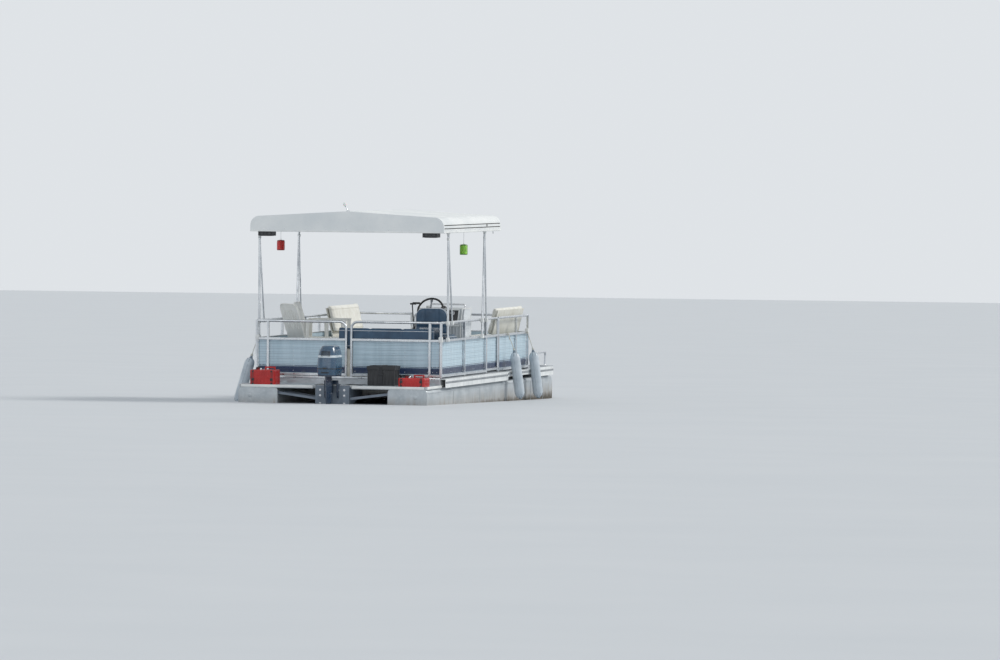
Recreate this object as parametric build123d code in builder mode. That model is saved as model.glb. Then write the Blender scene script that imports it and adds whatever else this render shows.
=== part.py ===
from build123d import *
import os
from math import cos, radians, sin, sqrt

# Pontoon boat with a hard top, a deck fence and an outboard motor.
# Frame: +X to starboard, +Y to the bow, +Z up, millimetres.
# The origin is on the centreline at the waterline, amidships.

os.makedirs("parts", exist_ok=True)

sides = (("port", -1), ("starboard", 1))

# Pontoons
pontoon_length = 6590
pontoon_width = 480
pontoon_depth = 480
bilge_radius = 150
shoulder_radius = 35
nose_length = 1150
nose_drop = 110
nose_tip_width = 60
nose_lead = 2
hull_half_width = 1170
cut_margin = 50

# Deck and its side channels
deck_height = 370
deck_thickness = 20
deck_length = 5050
beam_height = 100
beam_width = 45
beam_count = 9
channel_width = 73
channel_proud = 50
channel_height = 105
channel_wall = 4
channel_drop = 10
channel_thin_height = 62
channel_aft_length = 2860
channel_bow_length = 720
platform_length = 670
platform_thickness = 35
platform_corner = 30

# Motor bracket between the pontoons
transom_width = 400
transom_thickness = 40
transom_depth = 280
transom_proud = 5
bracket_plate = 10
bracket_length = 560
bracket_front_depth = 80
notch_half_width = 240
notch_depth = 200
strut_size = 30
strut_drop = 254
strut_rise = 62
strut_stations = (60, 320)

# Fence
bow_deck_length = 1010
fence_length = deck_length - bow_deck_length
fence_height = 678
mid_rail_height = 462
bottom_rail_height = 38
rail_dia = 30
post_size = 26
rear_corner_radius = 80
rear_post_inset = 155
centre_post_x = 33
side_post_aft = 1050
side_post_fore = 3456
side_gate_start = 2030
side_gate_end = 2620
bow_gate_width = 686
gate_gap = 8
gate_corner_radius = 45
gate_lift = 15
panel_skin = 3
panel_lift = 8
rib_depth = 4
rib_height = 16
rib_pitch = 60
hinge_dia = 14
hinge_pin_dia = 6
hinge_leaf = 4
hinge_height = 28
hinge_heights = (90, 560)
pin_clearance = 0.2
seat_gap = 0.3

# Hard top
roof_height = 1747
roof_length = 2600
roof_overhang = 105
roof_side_overhang = 42
roof_ridge = 247
roof_shoulder = 176
roof_shoulder_radius = 115
roof_skin = 25
roof_groove_heights = (42, 82)
roof_groove_width = 11
roof_groove_depth = 5
roof_groove_end = 30
roof_bow_count = 5
roof_tube = 38
pole_dia = 28
pole_offset = 16
brace_dia = 20
brace_spread = 195
brace_drop = 60
pole_rear_station = 199
pole_front_station = 1750
pole_front_lean = 95
clamp_height = 46
clamp_length = 50
clamp_wall = 4
light_ball_dia = 50
light_stalk_dia = 14
light_base_dia = 40
light_base_height = 12
light_station = 60
light_rise = 80
light_lean = 40
speaker_width = 180
speaker_depth = 150
speaker_height = 58
speaker_inset = 182
lantern_dia = 95
lantern_height = 130
lanterns = (
    # name, side, distance in from the roof's side, drop of its top below the eave
    ("lantern_red", -1, 46, 122),
    ("lantern_green", 1, 60, 150),
)
lantern_wire = 5
lantern_station = 1010

# Outboard motor
cheek_thickness = 14
clamp_gap = 140
clamp_aft = 62
clamp_front = 10
clamp_low = 150
clamp_hook = 100
clamp_top = 14
screw_drop = 70
screw_dia = 16
screw_length = 32
tommy_dia = 8
tommy_length = 56
pivot_rise = 40
pivot_reach = 40
pivot_dia = 22
boss_dia = 46
side_clearance = 5
steer_reach = 85
barrel_dia = 52
barrel_top = 60
barrel_bottom = 180
king_pin_dia = 26
yoke_height = 22
knuckle_gap = 1
leg_reach = 186
leg_width = 84
leg_length = 130
leg_low_width = 52
leg_low_length = 112
shaft_length = 510
cowl_width = 236
cowl_length = 410
cowl_height = 345
cowl_corner = 90
cowl_top_radius = 24
cowl_tuck = 8
# columns: share of the cowl's height, tuck from its widest outline, shift forward
cowl_sections = ((0, 8, 0), (0.22, 0, 0), (0.55, 4, 6), (0.82, 18, 16), (1, 44, 26))
cowl_latch_width = 64
cowl_latch_depth = 8
cowl_latch_rise = 66
cowl_latch_height = 26
cowl_wall = 8
leg_neck_width = 36
leg_tail_dia = 12
cowl_reach = 110
tray_height = 18
tray_rise = 133
vent_plate_length = 290
vent_plate_width = 180
vent_plate_thickness = 8
vent_plate_nose = 90
gear_drop = 165
gear_dia = 88
gear_length = 290
gear_nose = 40
gear_nose_fill = 0.72
skeg_depth = 125
skeg_length = 150
skeg_thickness = 10
skeg_sweep = 25
prop_dia = 254
prop_hub_dia = 74
prop_hub_length = 96
prop_shaft_dia = 18
prop_end_gap = 2
prop_nut_dia = 34
prop_nut_length = 12
prop_blade_width = 86
prop_blade_thickness = 6
blade_count = 3
blade_sink = 6
# columns: share of the way from hub to tip, chord as a share of the widest, pitch angle
blade_sections = ((0, 0.62, 58), (0.35, 0.95, 44), (0.7, 1, 32), (0.92, 0.72, 26), (1, 0.34, 24))
engine_width = 130
engine_length = 260
engine_height = 215

# Helm
console_width = 560
console_depth = 380
console_height = 805
console_wall = 14
console_inset = 358
console_station = 1200
dash_height = 190
dash_depth = 90
wheel_dia = 340
wheel_rim = 26
wheel_tilt = 30
wheel_offset = 96
wheel_height = 790
wheel_reach = 112
wheel_hub_dia = 62
wheel_hub_depth = 34
column_dia = 26
column_reach = 1.1
spoke_count = 3
spoke_dia = 16
throttle_width = 55
throttle_length = 110
throttle_depth = 130
throttle_top = 860
throttle_setback = 20
lever_dia = 14
lever_handle = 76
lever_reach = 40
lever_gap = 5
lever_boss_dia = 40
handle_dia = 20

# Seats
helm_inset = 278
helm_station = 500
helm_width = 430
helm_depth = 400
helm_cushion = 90
helm_seat_top = 500
helm_back_top = 845
helm_back_thickness = 70
helm_back_corner = 110
pedestal_dia = 70
pedestal_base_dia = 300
plate_thickness = 10
bench_front_gap = 44
bench_length = 1230
bench_seat_depth = 400
bench_base_height = 322
bench_cushion = 95
bench_back_top = 790
bench_back_thickness = 66
bench_lean = 115
bench_board = 14
bench_wall = 14
bench_board_drop = 40
bench_toe = 40
bench_clearance = 8
bench_back_gap = 22
lid_gap = 2
lid_post = 8
lid_hinge_inset = 160
cushion_corner = 25
stern_bench_low_x = -155
stern_bench_inset = 110
stern_bench_depth = 350
stern_bench_base = 330
stern_bench_cushion = 75
stern_bench_top = 600
stern_bench_back = 70
stern_bench_gap = 45

# Armchairs: place from the hull's port side and the fence's rear face, and the way they face
armchairs = (
    # name, distance in from the port side, station, turn from the bow to starboard in degrees
    ("armchair_aft", 545, 760, 50),
    ("armchair_forward", 450, 1530, 80),
)
chair_width = 560
chair_depth = 520
chair_seat_height = 420
chair_back_height = 850
chair_arm_height = 650
chair_seat_thickness = 12
chair_leg = 46
chair_arm_width = 52
chair_arm_thickness = 16
chair_back_lean = 130
chair_foot = 34
chair_splay = 14
chair_corner = 40
chair_lip = 30
chair_back_corner = 90
chair_back_thickness = 16
chair_slots = 5
chair_slot_pitch = 74
chair_slot_width = 18
chair_slot_share = 0.5
chair_slot_shift = 40

# On the stern platform
fuel_tanks = (
    # name, side, distance in from the hull's side, station, width, depth, height
    ("fuel_tank_port", -1, 278, -500, 315, 240, 175),
    ("fuel_tank_starboard", 1, 205, -500, 330, 250, 105),
)
tank_corner = 28
tank_cap_dia = 52
tank_cap_height = 26
tank_handle_height = 38
tank_handle_length = 130
tank_handle_thickness = 18
battery_inset = 640
battery_station = -300
battery_width = 350
battery_depth = 240
battery_height = 235
battery_lid = 45
battery_overlap = 8

# Bow deck and mooring
bow_rail_height = 187
bow_rail_dia = 25
bow_rail_length = 635
bow_rail_rake = 190
bow_rail_setback = 65
bow_rail_inset = 35
bow_rail_radius = 40
cleat_length = 150
cleat_dia = 18
cleat_height = 45
cleat_base = 60
cleat_setback = 170
cleat_inset = 140
fender_dia = 125
fender_length = 590
fender_eye_dia = 30
fender_eye_rise = 20
knot_dia = 24
knot_length = 20
rope_dia = 10
fender_setback = 110
fenders = (
    # name, side, reach off the hull's side at the top and at the foot, station, top above the deck
    ("fender_starboard_forward", 1, 85, 160, fence_length - fender_setback, 215),
    ("fender_starboard_aft", 1, 85, 170, 3020, 235),
    ("fender_port", -1, 92, 270, 130, 215),
)


def write(builder, name):
    """Label a finished piece and write its STEP file."""
    builder.part.label = name
    export_step(builder.part, f"parts/{name}.step")


def block(corner, opposite, mode=Mode.ADD):
    """Add or cut a box between two opposite corners."""
    low = [min(a, b) for a, b in zip(corner, opposite)]
    high = [max(a, b) for a, b in zip(corner, opposite)]
    with Locations(tuple(low)):
        Box(*[b - a for a, b in zip(low, high)], align=(Align.MIN, Align.MIN, Align.MIN), mode=mode)


def bar(start, end, dia, mode=Mode.ADD):
    """Add or cut a round bar between two points."""
    run = Vector(*end) - Vector(*start)
    with BuildSketch(Plane(origin=Vector(*start), z_dir=run)) as section:
        Circle(dia / 2)
    extrude(section.sketch, amount=run.length, mode=mode)


def bent_tube(points, radius, dia):
    """Add a round tube along straight runs with rounded corners."""
    with BuildLine() as path:
        FilletPolyline(*points, radius=radius)
    start = path.line @ 0
    with BuildSketch(Plane(origin=start, z_dir=path.line % 0)) as section:
        Circle(dia / 2)
    sweep(section.sketch, path=path.line)


# Levels and stations worked out from the sizes above
deck_z = deck_height
deck_under = deck_z - deck_thickness
pontoon_top = deck_under - beam_height
pontoon_bottom = pontoon_top - pontoon_depth
aft_y = -pontoon_length / 2
nose_y = pontoon_length / 2
stern_y = aft_y + platform_length
bow_y = stern_y + deck_length
fence_front_y = stern_y + fence_length
pontoon_x = hull_half_width - pontoon_width / 2
channel_outer = hull_half_width + channel_proud
channel_inner = channel_outer - channel_width
channel_top = deck_z - channel_drop
platform_top = pontoon_top + platform_thickness

# Pontoons: flat sides, round bilges, a nose swept up and in to a blunt tip
nose_start_y = nose_y - nose_length
tip_z = pontoon_top - nose_drop
ahead_y = nose_y + cut_margin
keel_z = pontoon_bottom - nose_lead
for side_name, side in sides:
    centre = side * pontoon_x
    with BuildPart() as pontoon:
        with BuildSketch(Plane.XZ.offset(-nose_y)) as section:
            with Locations((centre, pontoon_top - pontoon_depth / 2)):
                Rectangle(pontoon_width, pontoon_depth)
            fillet(section.vertices().group_by(Axis.Y)[0], radius=bilge_radius)
            fillet(section.vertices().group_by(Axis.Y)[-1], radius=shoulder_radius)
        extrude(amount=pontoon_length)
        with BuildSketch(Plane.YZ.offset(centre - pontoon_width)):
            with BuildLine():
                TangentArc((nose_start_y, keel_z), (nose_y, tip_z), tangent=(1, 0))
                Polyline(
                    (nose_y, tip_z), (ahead_y, tip_z), (ahead_y, keel_z - cut_margin),
                    (nose_start_y, keel_z - cut_margin), (nose_start_y, keel_z),
                )
            make_face()
        extrude(amount=2 * pontoon_width, mode=Mode.SUBTRACT)
        with BuildSketch(Plane.YZ.offset(centre - pontoon_width)):
            Polygon(
                (bow_y, pontoon_top), (nose_y, tip_z), (ahead_y, tip_z), (ahead_y, pontoon_top + cut_margin),
                (bow_y, pontoon_top + cut_margin), align=None,
            )
        extrude(amount=2 * pontoon_width, mode=Mode.SUBTRACT)
        with BuildSketch(Plane.XY.offset(pontoon_bottom - cut_margin)):
            for edge in (-1, 1):
                wide = centre + edge * (pontoon_width / 2 + nose_lead)
                tip = centre + edge * nose_tip_width / 2
                with BuildLine():
                    TangentArc((wide, nose_start_y), (tip, nose_y), tangent=(0, 1))
                    Polyline(
                        (tip, nose_y), (tip, ahead_y), (wide + edge * cut_margin, ahead_y),
                        (wide + edge * cut_margin, nose_start_y), (wide, nose_start_y),
                    )
                make_face()
        extrude(amount=pontoon_depth + 2 * cut_margin, mode=Mode.SUBTRACT)
    write(pontoon, f"pontoon_{side_name}")

# Cross beams: box tubes that carry the deck on the pontoons
beam_step = (deck_length - beam_width) / (beam_count - 1)
with BuildPart() as cross_beams:
    for row in range(beam_count):
        y = stern_y + row * beam_step
        block((-channel_inner, y, pontoon_top), (channel_inner, y + beam_width, deck_under))
write(cross_beams, "cross_beams")

with BuildPart() as deck:
    block((-channel_inner, stern_y, deck_under), (channel_inner, bow_y, deck_z))
write(deck, "deck")

# Side channels: deep aft and at the bow, shallow between, closed by the bow trim; hollow and open aft
channel_spans = (
    # start, end, height
    (0, channel_aft_length, channel_height),
    (channel_aft_length, deck_length - channel_bow_length, channel_thin_height),
    (deck_length - channel_bow_length, deck_length, channel_height),
)
with BuildPart() as side_channels:
    for side_name, side in sides:
        for start, end, height in channel_spans:
            block(
                (side * channel_inner, stern_y + start, channel_top - height),
                (side * channel_outer, stern_y + end, channel_top),
            )
        block(
            (side * (channel_inner + channel_wall), stern_y, channel_top - channel_height + channel_wall),
            (
                side * (channel_outer - channel_wall), stern_y + channel_aft_length - channel_wall,
                channel_top - channel_wall,
            ),
            mode=Mode.SUBTRACT,
        )
    block(
        (-channel_outer, bow_y, channel_top - channel_height), (channel_outer, bow_y + channel_wall, deck_z)
    )
write(side_channels, "side_channels")

with BuildPart() as platform:
    block((-hull_half_width, aft_y, pontoon_top), (hull_half_width, stern_y, platform_top))
    outer_corners = platform.edges().filter_by(Axis.Z).group_by(Axis.Y)[0]
    fillet(outer_corners, radius=platform_corner)
    block(
        (-notch_half_width, aft_y, pontoon_top), (notch_half_width, aft_y + notch_depth, platform_top),
        mode=Mode.SUBTRACT,
    )
write(platform, "stern_platform")

# Motor bracket: transom board, two side plates and struts to the pontoons
transom_top = platform_top + transom_proud
transom_bottom = transom_top - transom_depth
pontoon_inner = hull_half_width - pontoon_width
strut_z = deck_z - strut_drop
with BuildPart() as motor_bracket:
    block(
        (-transom_width / 2, aft_y, transom_bottom),
        (transom_width / 2, aft_y + transom_thickness, transom_top),
    )
    for side_name, side in sides:
        plate_x = transom_width / 2 if side > 0 else -transom_width / 2 - bracket_plate
        with BuildSketch(Plane.YZ.offset(plate_x)):
            Polygon(
                (aft_y, transom_top),
                (aft_y, transom_bottom),
                (aft_y + bracket_length, pontoon_top - bracket_front_depth),
                (aft_y + bracket_length, pontoon_top),
                (aft_y + notch_depth / 2, pontoon_top),
                (aft_y + transom_thickness, transom_top),
                align=None,
            )
        extrude(amount=bracket_plate)
        plate_outer = side * (transom_width / 2 + bracket_plate)
        for station in strut_stations:
            with BuildSketch(Plane.XZ.offset(-(aft_y + station + strut_size / 2))):
                Polygon(
                    (plate_outer, strut_z),
                    (side * pontoon_inner, strut_z + strut_rise),
                    (side * pontoon_inner, strut_z + strut_rise + strut_size),
                    (plate_outer, strut_z + strut_size),
                    align=None,
                )
            extrude(amount=strut_size)
write(motor_bracket, "motor_bracket")

# Outboard motor, in three moving stages: clamp, tilting swivel, steering leg
pivot_y = aft_y - pivot_reach
pivot_z = transom_top + pivot_rise
steer_y = aft_y - steer_reach
leg_y = aft_y - leg_reach
tray_z = transom_top + tray_rise
vent_z = transom_top - shaft_length
shaft_z = vent_z - gear_drop
cowl_y = aft_y - cowl_reach
clamp_screw_z = transom_top - screw_drop
screw_start = aft_y + transom_thickness + clamp_front

with BuildPart() as clamp:
    for side_name, side in sides:
        cheek_x = clamp_gap / 2 if side > 0 else -clamp_gap / 2 - cheek_thickness
        with BuildSketch(Plane.YZ.offset(cheek_x)):
            Polygon(
                (aft_y, transom_top - clamp_low),
                (aft_y - clamp_aft / 2, transom_top - clamp_low),
                (aft_y - clamp_aft, transom_top - clamp_low / 2),
                (aft_y - clamp_aft, pivot_z),
                (pivot_y - boss_dia / 4, pivot_z + boss_dia / 2),
                (pivot_y + boss_dia / 4, pivot_z + boss_dia / 2),
                (aft_y, transom_top + clamp_top),
                (aft_y + transom_thickness + clamp_front, transom_top + clamp_top),
                (aft_y + transom_thickness + clamp_front, transom_top - clamp_hook),
                (aft_y + transom_thickness, transom_top - clamp_hook),
                (aft_y + transom_thickness, transom_top),
                (aft_y, transom_top),
                align=None,
            )
        extrude(amount=cheek_thickness)
        screw_x = side * (clamp_gap + cheek_thickness) / 2
        screw_end = screw_start + screw_length
        bar((screw_x, screw_start, clamp_screw_z), (screw_x, screw_end, clamp_screw_z), screw_dia)
        bar(
            (screw_x, screw_end - tommy_dia, clamp_screw_z - tommy_length / 2),
            (screw_x, screw_end - tommy_dia, clamp_screw_z + tommy_length / 2), tommy_dia,
        )
    cheek_outer = clamp_gap / 2 + cheek_thickness
    bar((-cheek_outer, pivot_y, pivot_z), (cheek_outer, pivot_y, pivot_z), pivot_dia)
write(clamp, "motor_clamp")

with BuildPart() as swivel:
    boss_half = clamp_gap / 2 - side_clearance
    bar((-boss_half, pivot_y, pivot_z), (boss_half, pivot_y, pivot_z), boss_dia)
    bar((0, steer_y, transom_top - barrel_bottom), (0, steer_y, transom_top + barrel_top), barrel_dia)
    block(
        (-barrel_dia / 2, steer_y, transom_top - barrel_bottom / 2), (barrel_dia / 2, pivot_y, pivot_z)
    )
    bar(
        (-boss_half, pivot_y, pivot_z), (boss_half, pivot_y, pivot_z), pivot_dia + 2 * pin_clearance,
        mode=Mode.SUBTRACT,
    )
    bar(
        (0, steer_y, transom_top - barrel_bottom), (0, steer_y, transom_top + barrel_top),
        king_pin_dia + 2 * pin_clearance, mode=Mode.SUBTRACT,
    )
write(swivel, "motor_swivel")

yoke_top = transom_top + barrel_top + knuckle_gap + yoke_height
yoke_low = transom_top - barrel_bottom - knuckle_gap - yoke_height
gear_front = leg_y + gear_length / 2
gear_back = leg_y - gear_length / 2
prop_nut_y = gear_back - prop_hub_length - 2 * prop_end_gap
with BuildPart() as leg:
    for upper, lower in (((leg_width, leg_length, tray_z - tray_height), (leg_low_width, leg_low_length, vent_z)),
                         ((leg_low_width, leg_low_length, vent_z), (leg_neck_width, leg_low_length, shaft_z))):
        for width, length, z in (upper, lower):
            with BuildSketch(Plane.XY.offset(z)):
                with Locations((0, leg_y + length / 2 - width / 2)):
                    Circle(width / 2)
                with Locations((0, leg_y - length / 2 + leg_tail_dia / 2)):
                    Circle(leg_tail_dia / 2)
                make_hull()
        loft()
    with BuildSketch(Plane.XY.offset(tray_z - tray_height)):
        with Locations((0, cowl_y)):
            RectangleRounded(cowl_width - 2 * cowl_tuck, cowl_length - 2 * cowl_tuck, cowl_corner - cowl_tuck)
    extrude(amount=tray_height)
    with BuildSketch(Plane.XY.offset(vent_z - vent_plate_thickness / 2)):
        with Locations((0, leg_y + vent_plate_length / 4)):
            Circle(vent_plate_nose / 2)
        with Locations((0, leg_y - vent_plate_length / 2)):
            Rectangle(vent_plate_width, vent_plate_length / 4)
        make_hull()
    extrude(amount=vent_plate_thickness)
    with BuildSketch(Plane.YZ):
        with BuildLine():
            Spline(
                (gear_front + gear_nose, shaft_z),
                (gear_front + gear_nose / 2, shaft_z + gear_dia * gear_nose_fill / 2),
                (gear_front - gear_length / 4, shaft_z + gear_dia / 2),
                (gear_back, shaft_z + prop_hub_dia / 2),
                tangents=((0, 1), (-1, 0)),
            )
            Line((gear_back, shaft_z + prop_hub_dia / 2), (gear_back, shaft_z))
            Line((gear_back, shaft_z), (gear_front + gear_nose, shaft_z))
        make_face()
    revolve(axis=Axis((0, 0, shaft_z), (0, 1, 0)))
    with BuildSketch(Plane.YZ.offset(-skeg_thickness / 2)):
        Polygon(
            (leg_y + skeg_length / 2, shaft_z),
            (leg_y - skeg_length / 2, shaft_z),
            (leg_y - skeg_length / 2 - skeg_sweep, shaft_z - skeg_depth),
            (leg_y - skeg_length / 6 - skeg_sweep, shaft_z - skeg_depth),
            align=None,
        )
    extrude(amount=skeg_thickness)
    for low, high in ((yoke_top - yoke_height, yoke_top), (yoke_low, yoke_low + yoke_height)):
        bar((0, steer_y, low), (0, steer_y, high), barrel_dia)
        block((-barrel_dia / 2, leg_y, low), (barrel_dia / 2, steer_y, high))
    bar((0, steer_y, yoke_low), (0, steer_y, yoke_top), king_pin_dia)
    bar((0, gear_back, shaft_z), (0, prop_nut_y, shaft_z), prop_shaft_dia)
    bar((0, prop_nut_y, shaft_z), (0, prop_nut_y - prop_nut_length, shaft_z), prop_nut_dia)
write(leg, "motor_leg")

prop_y = gear_back - prop_end_gap - prop_hub_length / 2
with BuildPart() as propeller:
    bar((0, prop_y - prop_hub_length / 2, shaft_z), (0, prop_y + prop_hub_length / 2, shaft_z), prop_hub_dia)
    for blade in range(blade_count):
        turn = 360 / blade_count * blade
        radial = Vector(0, 0, 1).rotate(Axis.Y, turn)
        for share, chord, pitch in blade_sections:
            reach = prop_hub_dia / 2 - blade_sink + share * (prop_dia - prop_hub_dia + 2 * blade_sink) / 2
            chord_way = Vector(1, 0, 0).rotate(Axis.Y, turn).rotate(Axis((0, 0, 0), radial), pitch)
            middle = Vector(0, prop_y, shaft_z) + radial * reach
            half, thick = prop_blade_width * chord / 2, prop_blade_thickness / 2
            with BuildSketch(Plane(origin=middle, x_dir=chord_way, z_dir=radial)):
                Polygon(
                    (-half, 0), (-half / 2, thick), (half / 2, thick),
                    (half, 0), (half / 2, -thick), (-half / 2, -thick), align=None,
                )
        loft()
    bar(
        (0, prop_y - prop_hub_length / 2, shaft_z), (0, prop_y + prop_hub_length / 2, shaft_z),
        prop_shaft_dia + 2 * pin_clearance, mode=Mode.SUBTRACT,
    )
write(propeller, "propeller")

with BuildPart() as cowl:
    for share, tuck, forward in cowl_sections:
        with BuildSketch(Plane.XY.offset(tray_z + share * cowl_height)):
            with Locations((0, cowl_y + forward)):
                RectangleRounded(cowl_width - 2 * tuck, cowl_length - 2 * tuck - forward, cowl_corner - tuck / 2)
    loft()
    fillet(cowl.faces().sort_by(Axis.Z)[-1].edges(), radius=cowl_top_radius)
    block(
        (-cowl_latch_width / 2, cowl_y - cowl_length / 2 - cowl_latch_depth, tray_z + cowl_latch_rise),
        (cowl_latch_width / 2, cowl_y - cowl_length / 3, tray_z + cowl_latch_rise + cowl_latch_height),
    )
    with BuildSketch(Plane.XY.offset(tray_z)):
        with Locations((0, cowl_y)):
            RectangleRounded(
                engine_width + 2 * cowl_wall, engine_length + 2 * cowl_wall, cowl_wall,
            )
    extrude(amount=engine_height + 2 * cowl_wall, mode=Mode.SUBTRACT)
write(cowl, "motor_cowl")

with BuildPart() as engine_block:
    block(
        (-engine_width / 2, cowl_y - engine_length / 2, tray_z),
        (engine_width / 2, cowl_y + engine_length / 2, tray_z + engine_height),
    )
write(engine_block, "engine_block")

# Fence lines: a start point, the way the line runs and the way in to the deck
rail_inset = rail_dia / 2
fence_lines = {
    "starboard": ((hull_half_width - rail_inset, stern_y), (0, 1), (-1, 0)),
    "port": ((rail_inset - hull_half_width, stern_y), (0, 1), (1, 0)),
    "rear": ((0, stern_y + rail_inset), (1, 0), (0, 1)),
    "front": ((0, fence_front_y - rail_inset), (1, 0), (0, -1)),
}
half_post = post_size / 2
top_rail_z = fence_height - rail_inset
corner_x = hull_half_width - rail_dia
panel_top = mid_rail_height - half_post
rib_count = int((panel_top - panel_lift - rib_height) / rib_pitch)


def spot(line, along, inward, height):
    """Point on a fence line: along its run, in towards the deck, up from the deck."""
    start, run, way_in = fence_lines[line]
    return (
        start[0] + along * run[0] + inward * way_in[0],
        start[1] + along * run[1] + inward * way_in[1],
        deck_z + height,
    )


def fence_post(line, along, lift=0):
    """Add a square post up to the middle of the top rail."""
    block(
        spot(line, along - half_post, -half_post, lift), spot(line, along + half_post, half_post, top_rail_z)
    )


def low_rails(line, start, end, lift=0):
    """Add the square middle and bottom rails."""
    for top in (mid_rail_height, bottom_rail_height + lift):
        block(spot(line, start, -half_post, top - post_size), spot(line, end, half_post, top))


def ribbed_panel(line, start, end, lift=0):
    """Add a thin sheet behind the posts, with ribs on its outer face."""
    outer = half_post + rib_depth
    block(spot(line, start, outer, panel_lift + lift), spot(line, end, outer + panel_skin, panel_top))
    for rib in range(rib_count):
        low = panel_top - (rib + 1) * rib_pitch
        if low > panel_lift + lift:
            block(spot(line, start, half_post, low), spot(line, end, outer, low + rib_height))


def hinge_half(line, along, post, low, pin):
    """Add one knuckle and its leaf, rooted in its post, with the pin or the hole for it."""
    inward = half_post + hinge_dia / 2
    bottom = spot(line, along, inward, low)
    top = spot(line, along, inward, low + hinge_height)
    bar(bottom, top, hinge_dia)
    block(
        spot(line, along, half_post - hinge_leaf, low),
        spot(line, post, half_post + hinge_leaf, low + hinge_height),
    )
    if pin:
        bar(bottom, spot(line, along, inward, low + 2 * hinge_height), hinge_pin_dia)
    else:
        bar(bottom, top, hinge_pin_dia + 2 * pin_clearance, mode=Mode.SUBTRACT)


# Rear rails: two sections that bend down beside each other on the centreline
with BuildPart() as rails_rear:
    for side_name, side in sides:
        bent_tube(
            (
                spot("rear", side * corner_x, 0, top_rail_z),
                spot("rear", side * centre_post_x, 0, top_rail_z),
                spot("rear", side * centre_post_x, 0, 0),
            ),
            rear_corner_radius, rail_dia,
        )
        low_rails("rear", side * centre_post_x, side * corner_x)
        fence_post("rear", side * (hull_half_width - rear_post_inset))
write(rails_rear, "rails_rear")

# Side rails: the port side is one run, the starboard side has the boarding gate
front_end = fence_length - half_post
aft_posts = (half_post, side_post_aft, side_gate_start)
fore_posts = (side_gate_end, side_post_fore, front_end)
side_runs = {
    "port": ((0, fence_length, aft_posts + fore_posts),),
    "starboard": (
        (0, side_gate_start + half_post, aft_posts), (side_gate_end - half_post, fence_length, fore_posts),
    ),
}
gate_pivot = half_post + gate_gap / 2
for side_name, side in sides:
    with BuildPart() as rails_side:
        for start, end, posts in side_runs[side_name]:
            bar(spot(side_name, start, 0, top_rail_z), spot(side_name, end, 0, top_rail_z), rail_dia)
            low_rails(side_name, start, end)
            for along in posts:
                fence_post(side_name, along)
        if side > 0:
            for low in hinge_heights:
                hinge_half(side_name, side_gate_start + gate_pivot, side_gate_start, low, True)
    write(rails_side, f"rails_{side_name}")

# Front rails: a section each side of the bow gate
gate_post_x = bow_gate_width / 2 + half_post
with BuildPart() as rails_front:
    for side_name, side in sides:
        start, end = side * (gate_post_x - half_post), side * corner_x
        bar(spot("front", start, 0, top_rail_z), spot("front", end, 0, top_rail_z), rail_dia)
        low_rails("front", start, end)
        fence_post("front", side * gate_post_x)
    for low in hinge_heights:
        hinge_half("front", -bow_gate_width / 2 + gate_gap / 2, -gate_post_x, low, True)
write(rails_front, "rails_front")

# Fixed panels, in from the posts; they stop short of each other at the corners
panel_corner = corner_x - 2 * rib_depth - panel_skin
fixed_panels = (
    # line, start, end
    ("rear", -panel_corner, -centre_post_x - rail_inset - seat_gap),
    ("rear", centre_post_x + rail_inset + seat_gap, panel_corner),
    ("port", rail_dia, fence_length - rail_dia),
    ("starboard", rail_dia, side_gate_start - seat_gap),
    ("starboard", side_gate_end + seat_gap, fence_length - rail_dia),
    ("front", -panel_corner, -gate_post_x - seat_gap),
    ("front", gate_post_x + seat_gap, panel_corner),
)
with BuildPart() as fence_panels:
    for line, start, end in fixed_panels:
        ribbed_panel(line, start, end)
write(fence_panels, "fence_panels")

# Gates: a bent frame with a low panel, hinged on its first post, opening inward
gates = (
    # name, line, first stile, last stile, hinge pin
    (
        "side_gate", "starboard",
        side_gate_start + 2 * half_post + gate_gap, side_gate_end - 2 * half_post - gate_gap,
        side_gate_start + gate_pivot,
    ),
    (
        "bow_gate", "front",
        -bow_gate_width / 2 + gate_gap + half_post, bow_gate_width / 2 - gate_gap - half_post,
        -bow_gate_width / 2 + gate_gap / 2,
    ),
)
for name, line, first, last, pivot in gates:
    with BuildPart() as gate_frame:
        bent_tube(
            (
                spot(line, first, 0, gate_lift), spot(line, first, 0, top_rail_z),
                spot(line, last, 0, top_rail_z), spot(line, last, 0, gate_lift),
            ),
            gate_corner_radius, post_size,
        )
        low_rails(line, first, last, gate_lift)
        for low in hinge_heights:
            hinge_half(line, pivot, first, low + hinge_height + knuckle_gap, False)
    write(gate_frame, f"{name}_frame")
    with BuildPart() as gate_panel:
        ribbed_panel(line, first + seat_gap, last, gate_lift)
    write(gate_panel, f"{name}_panel")

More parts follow.
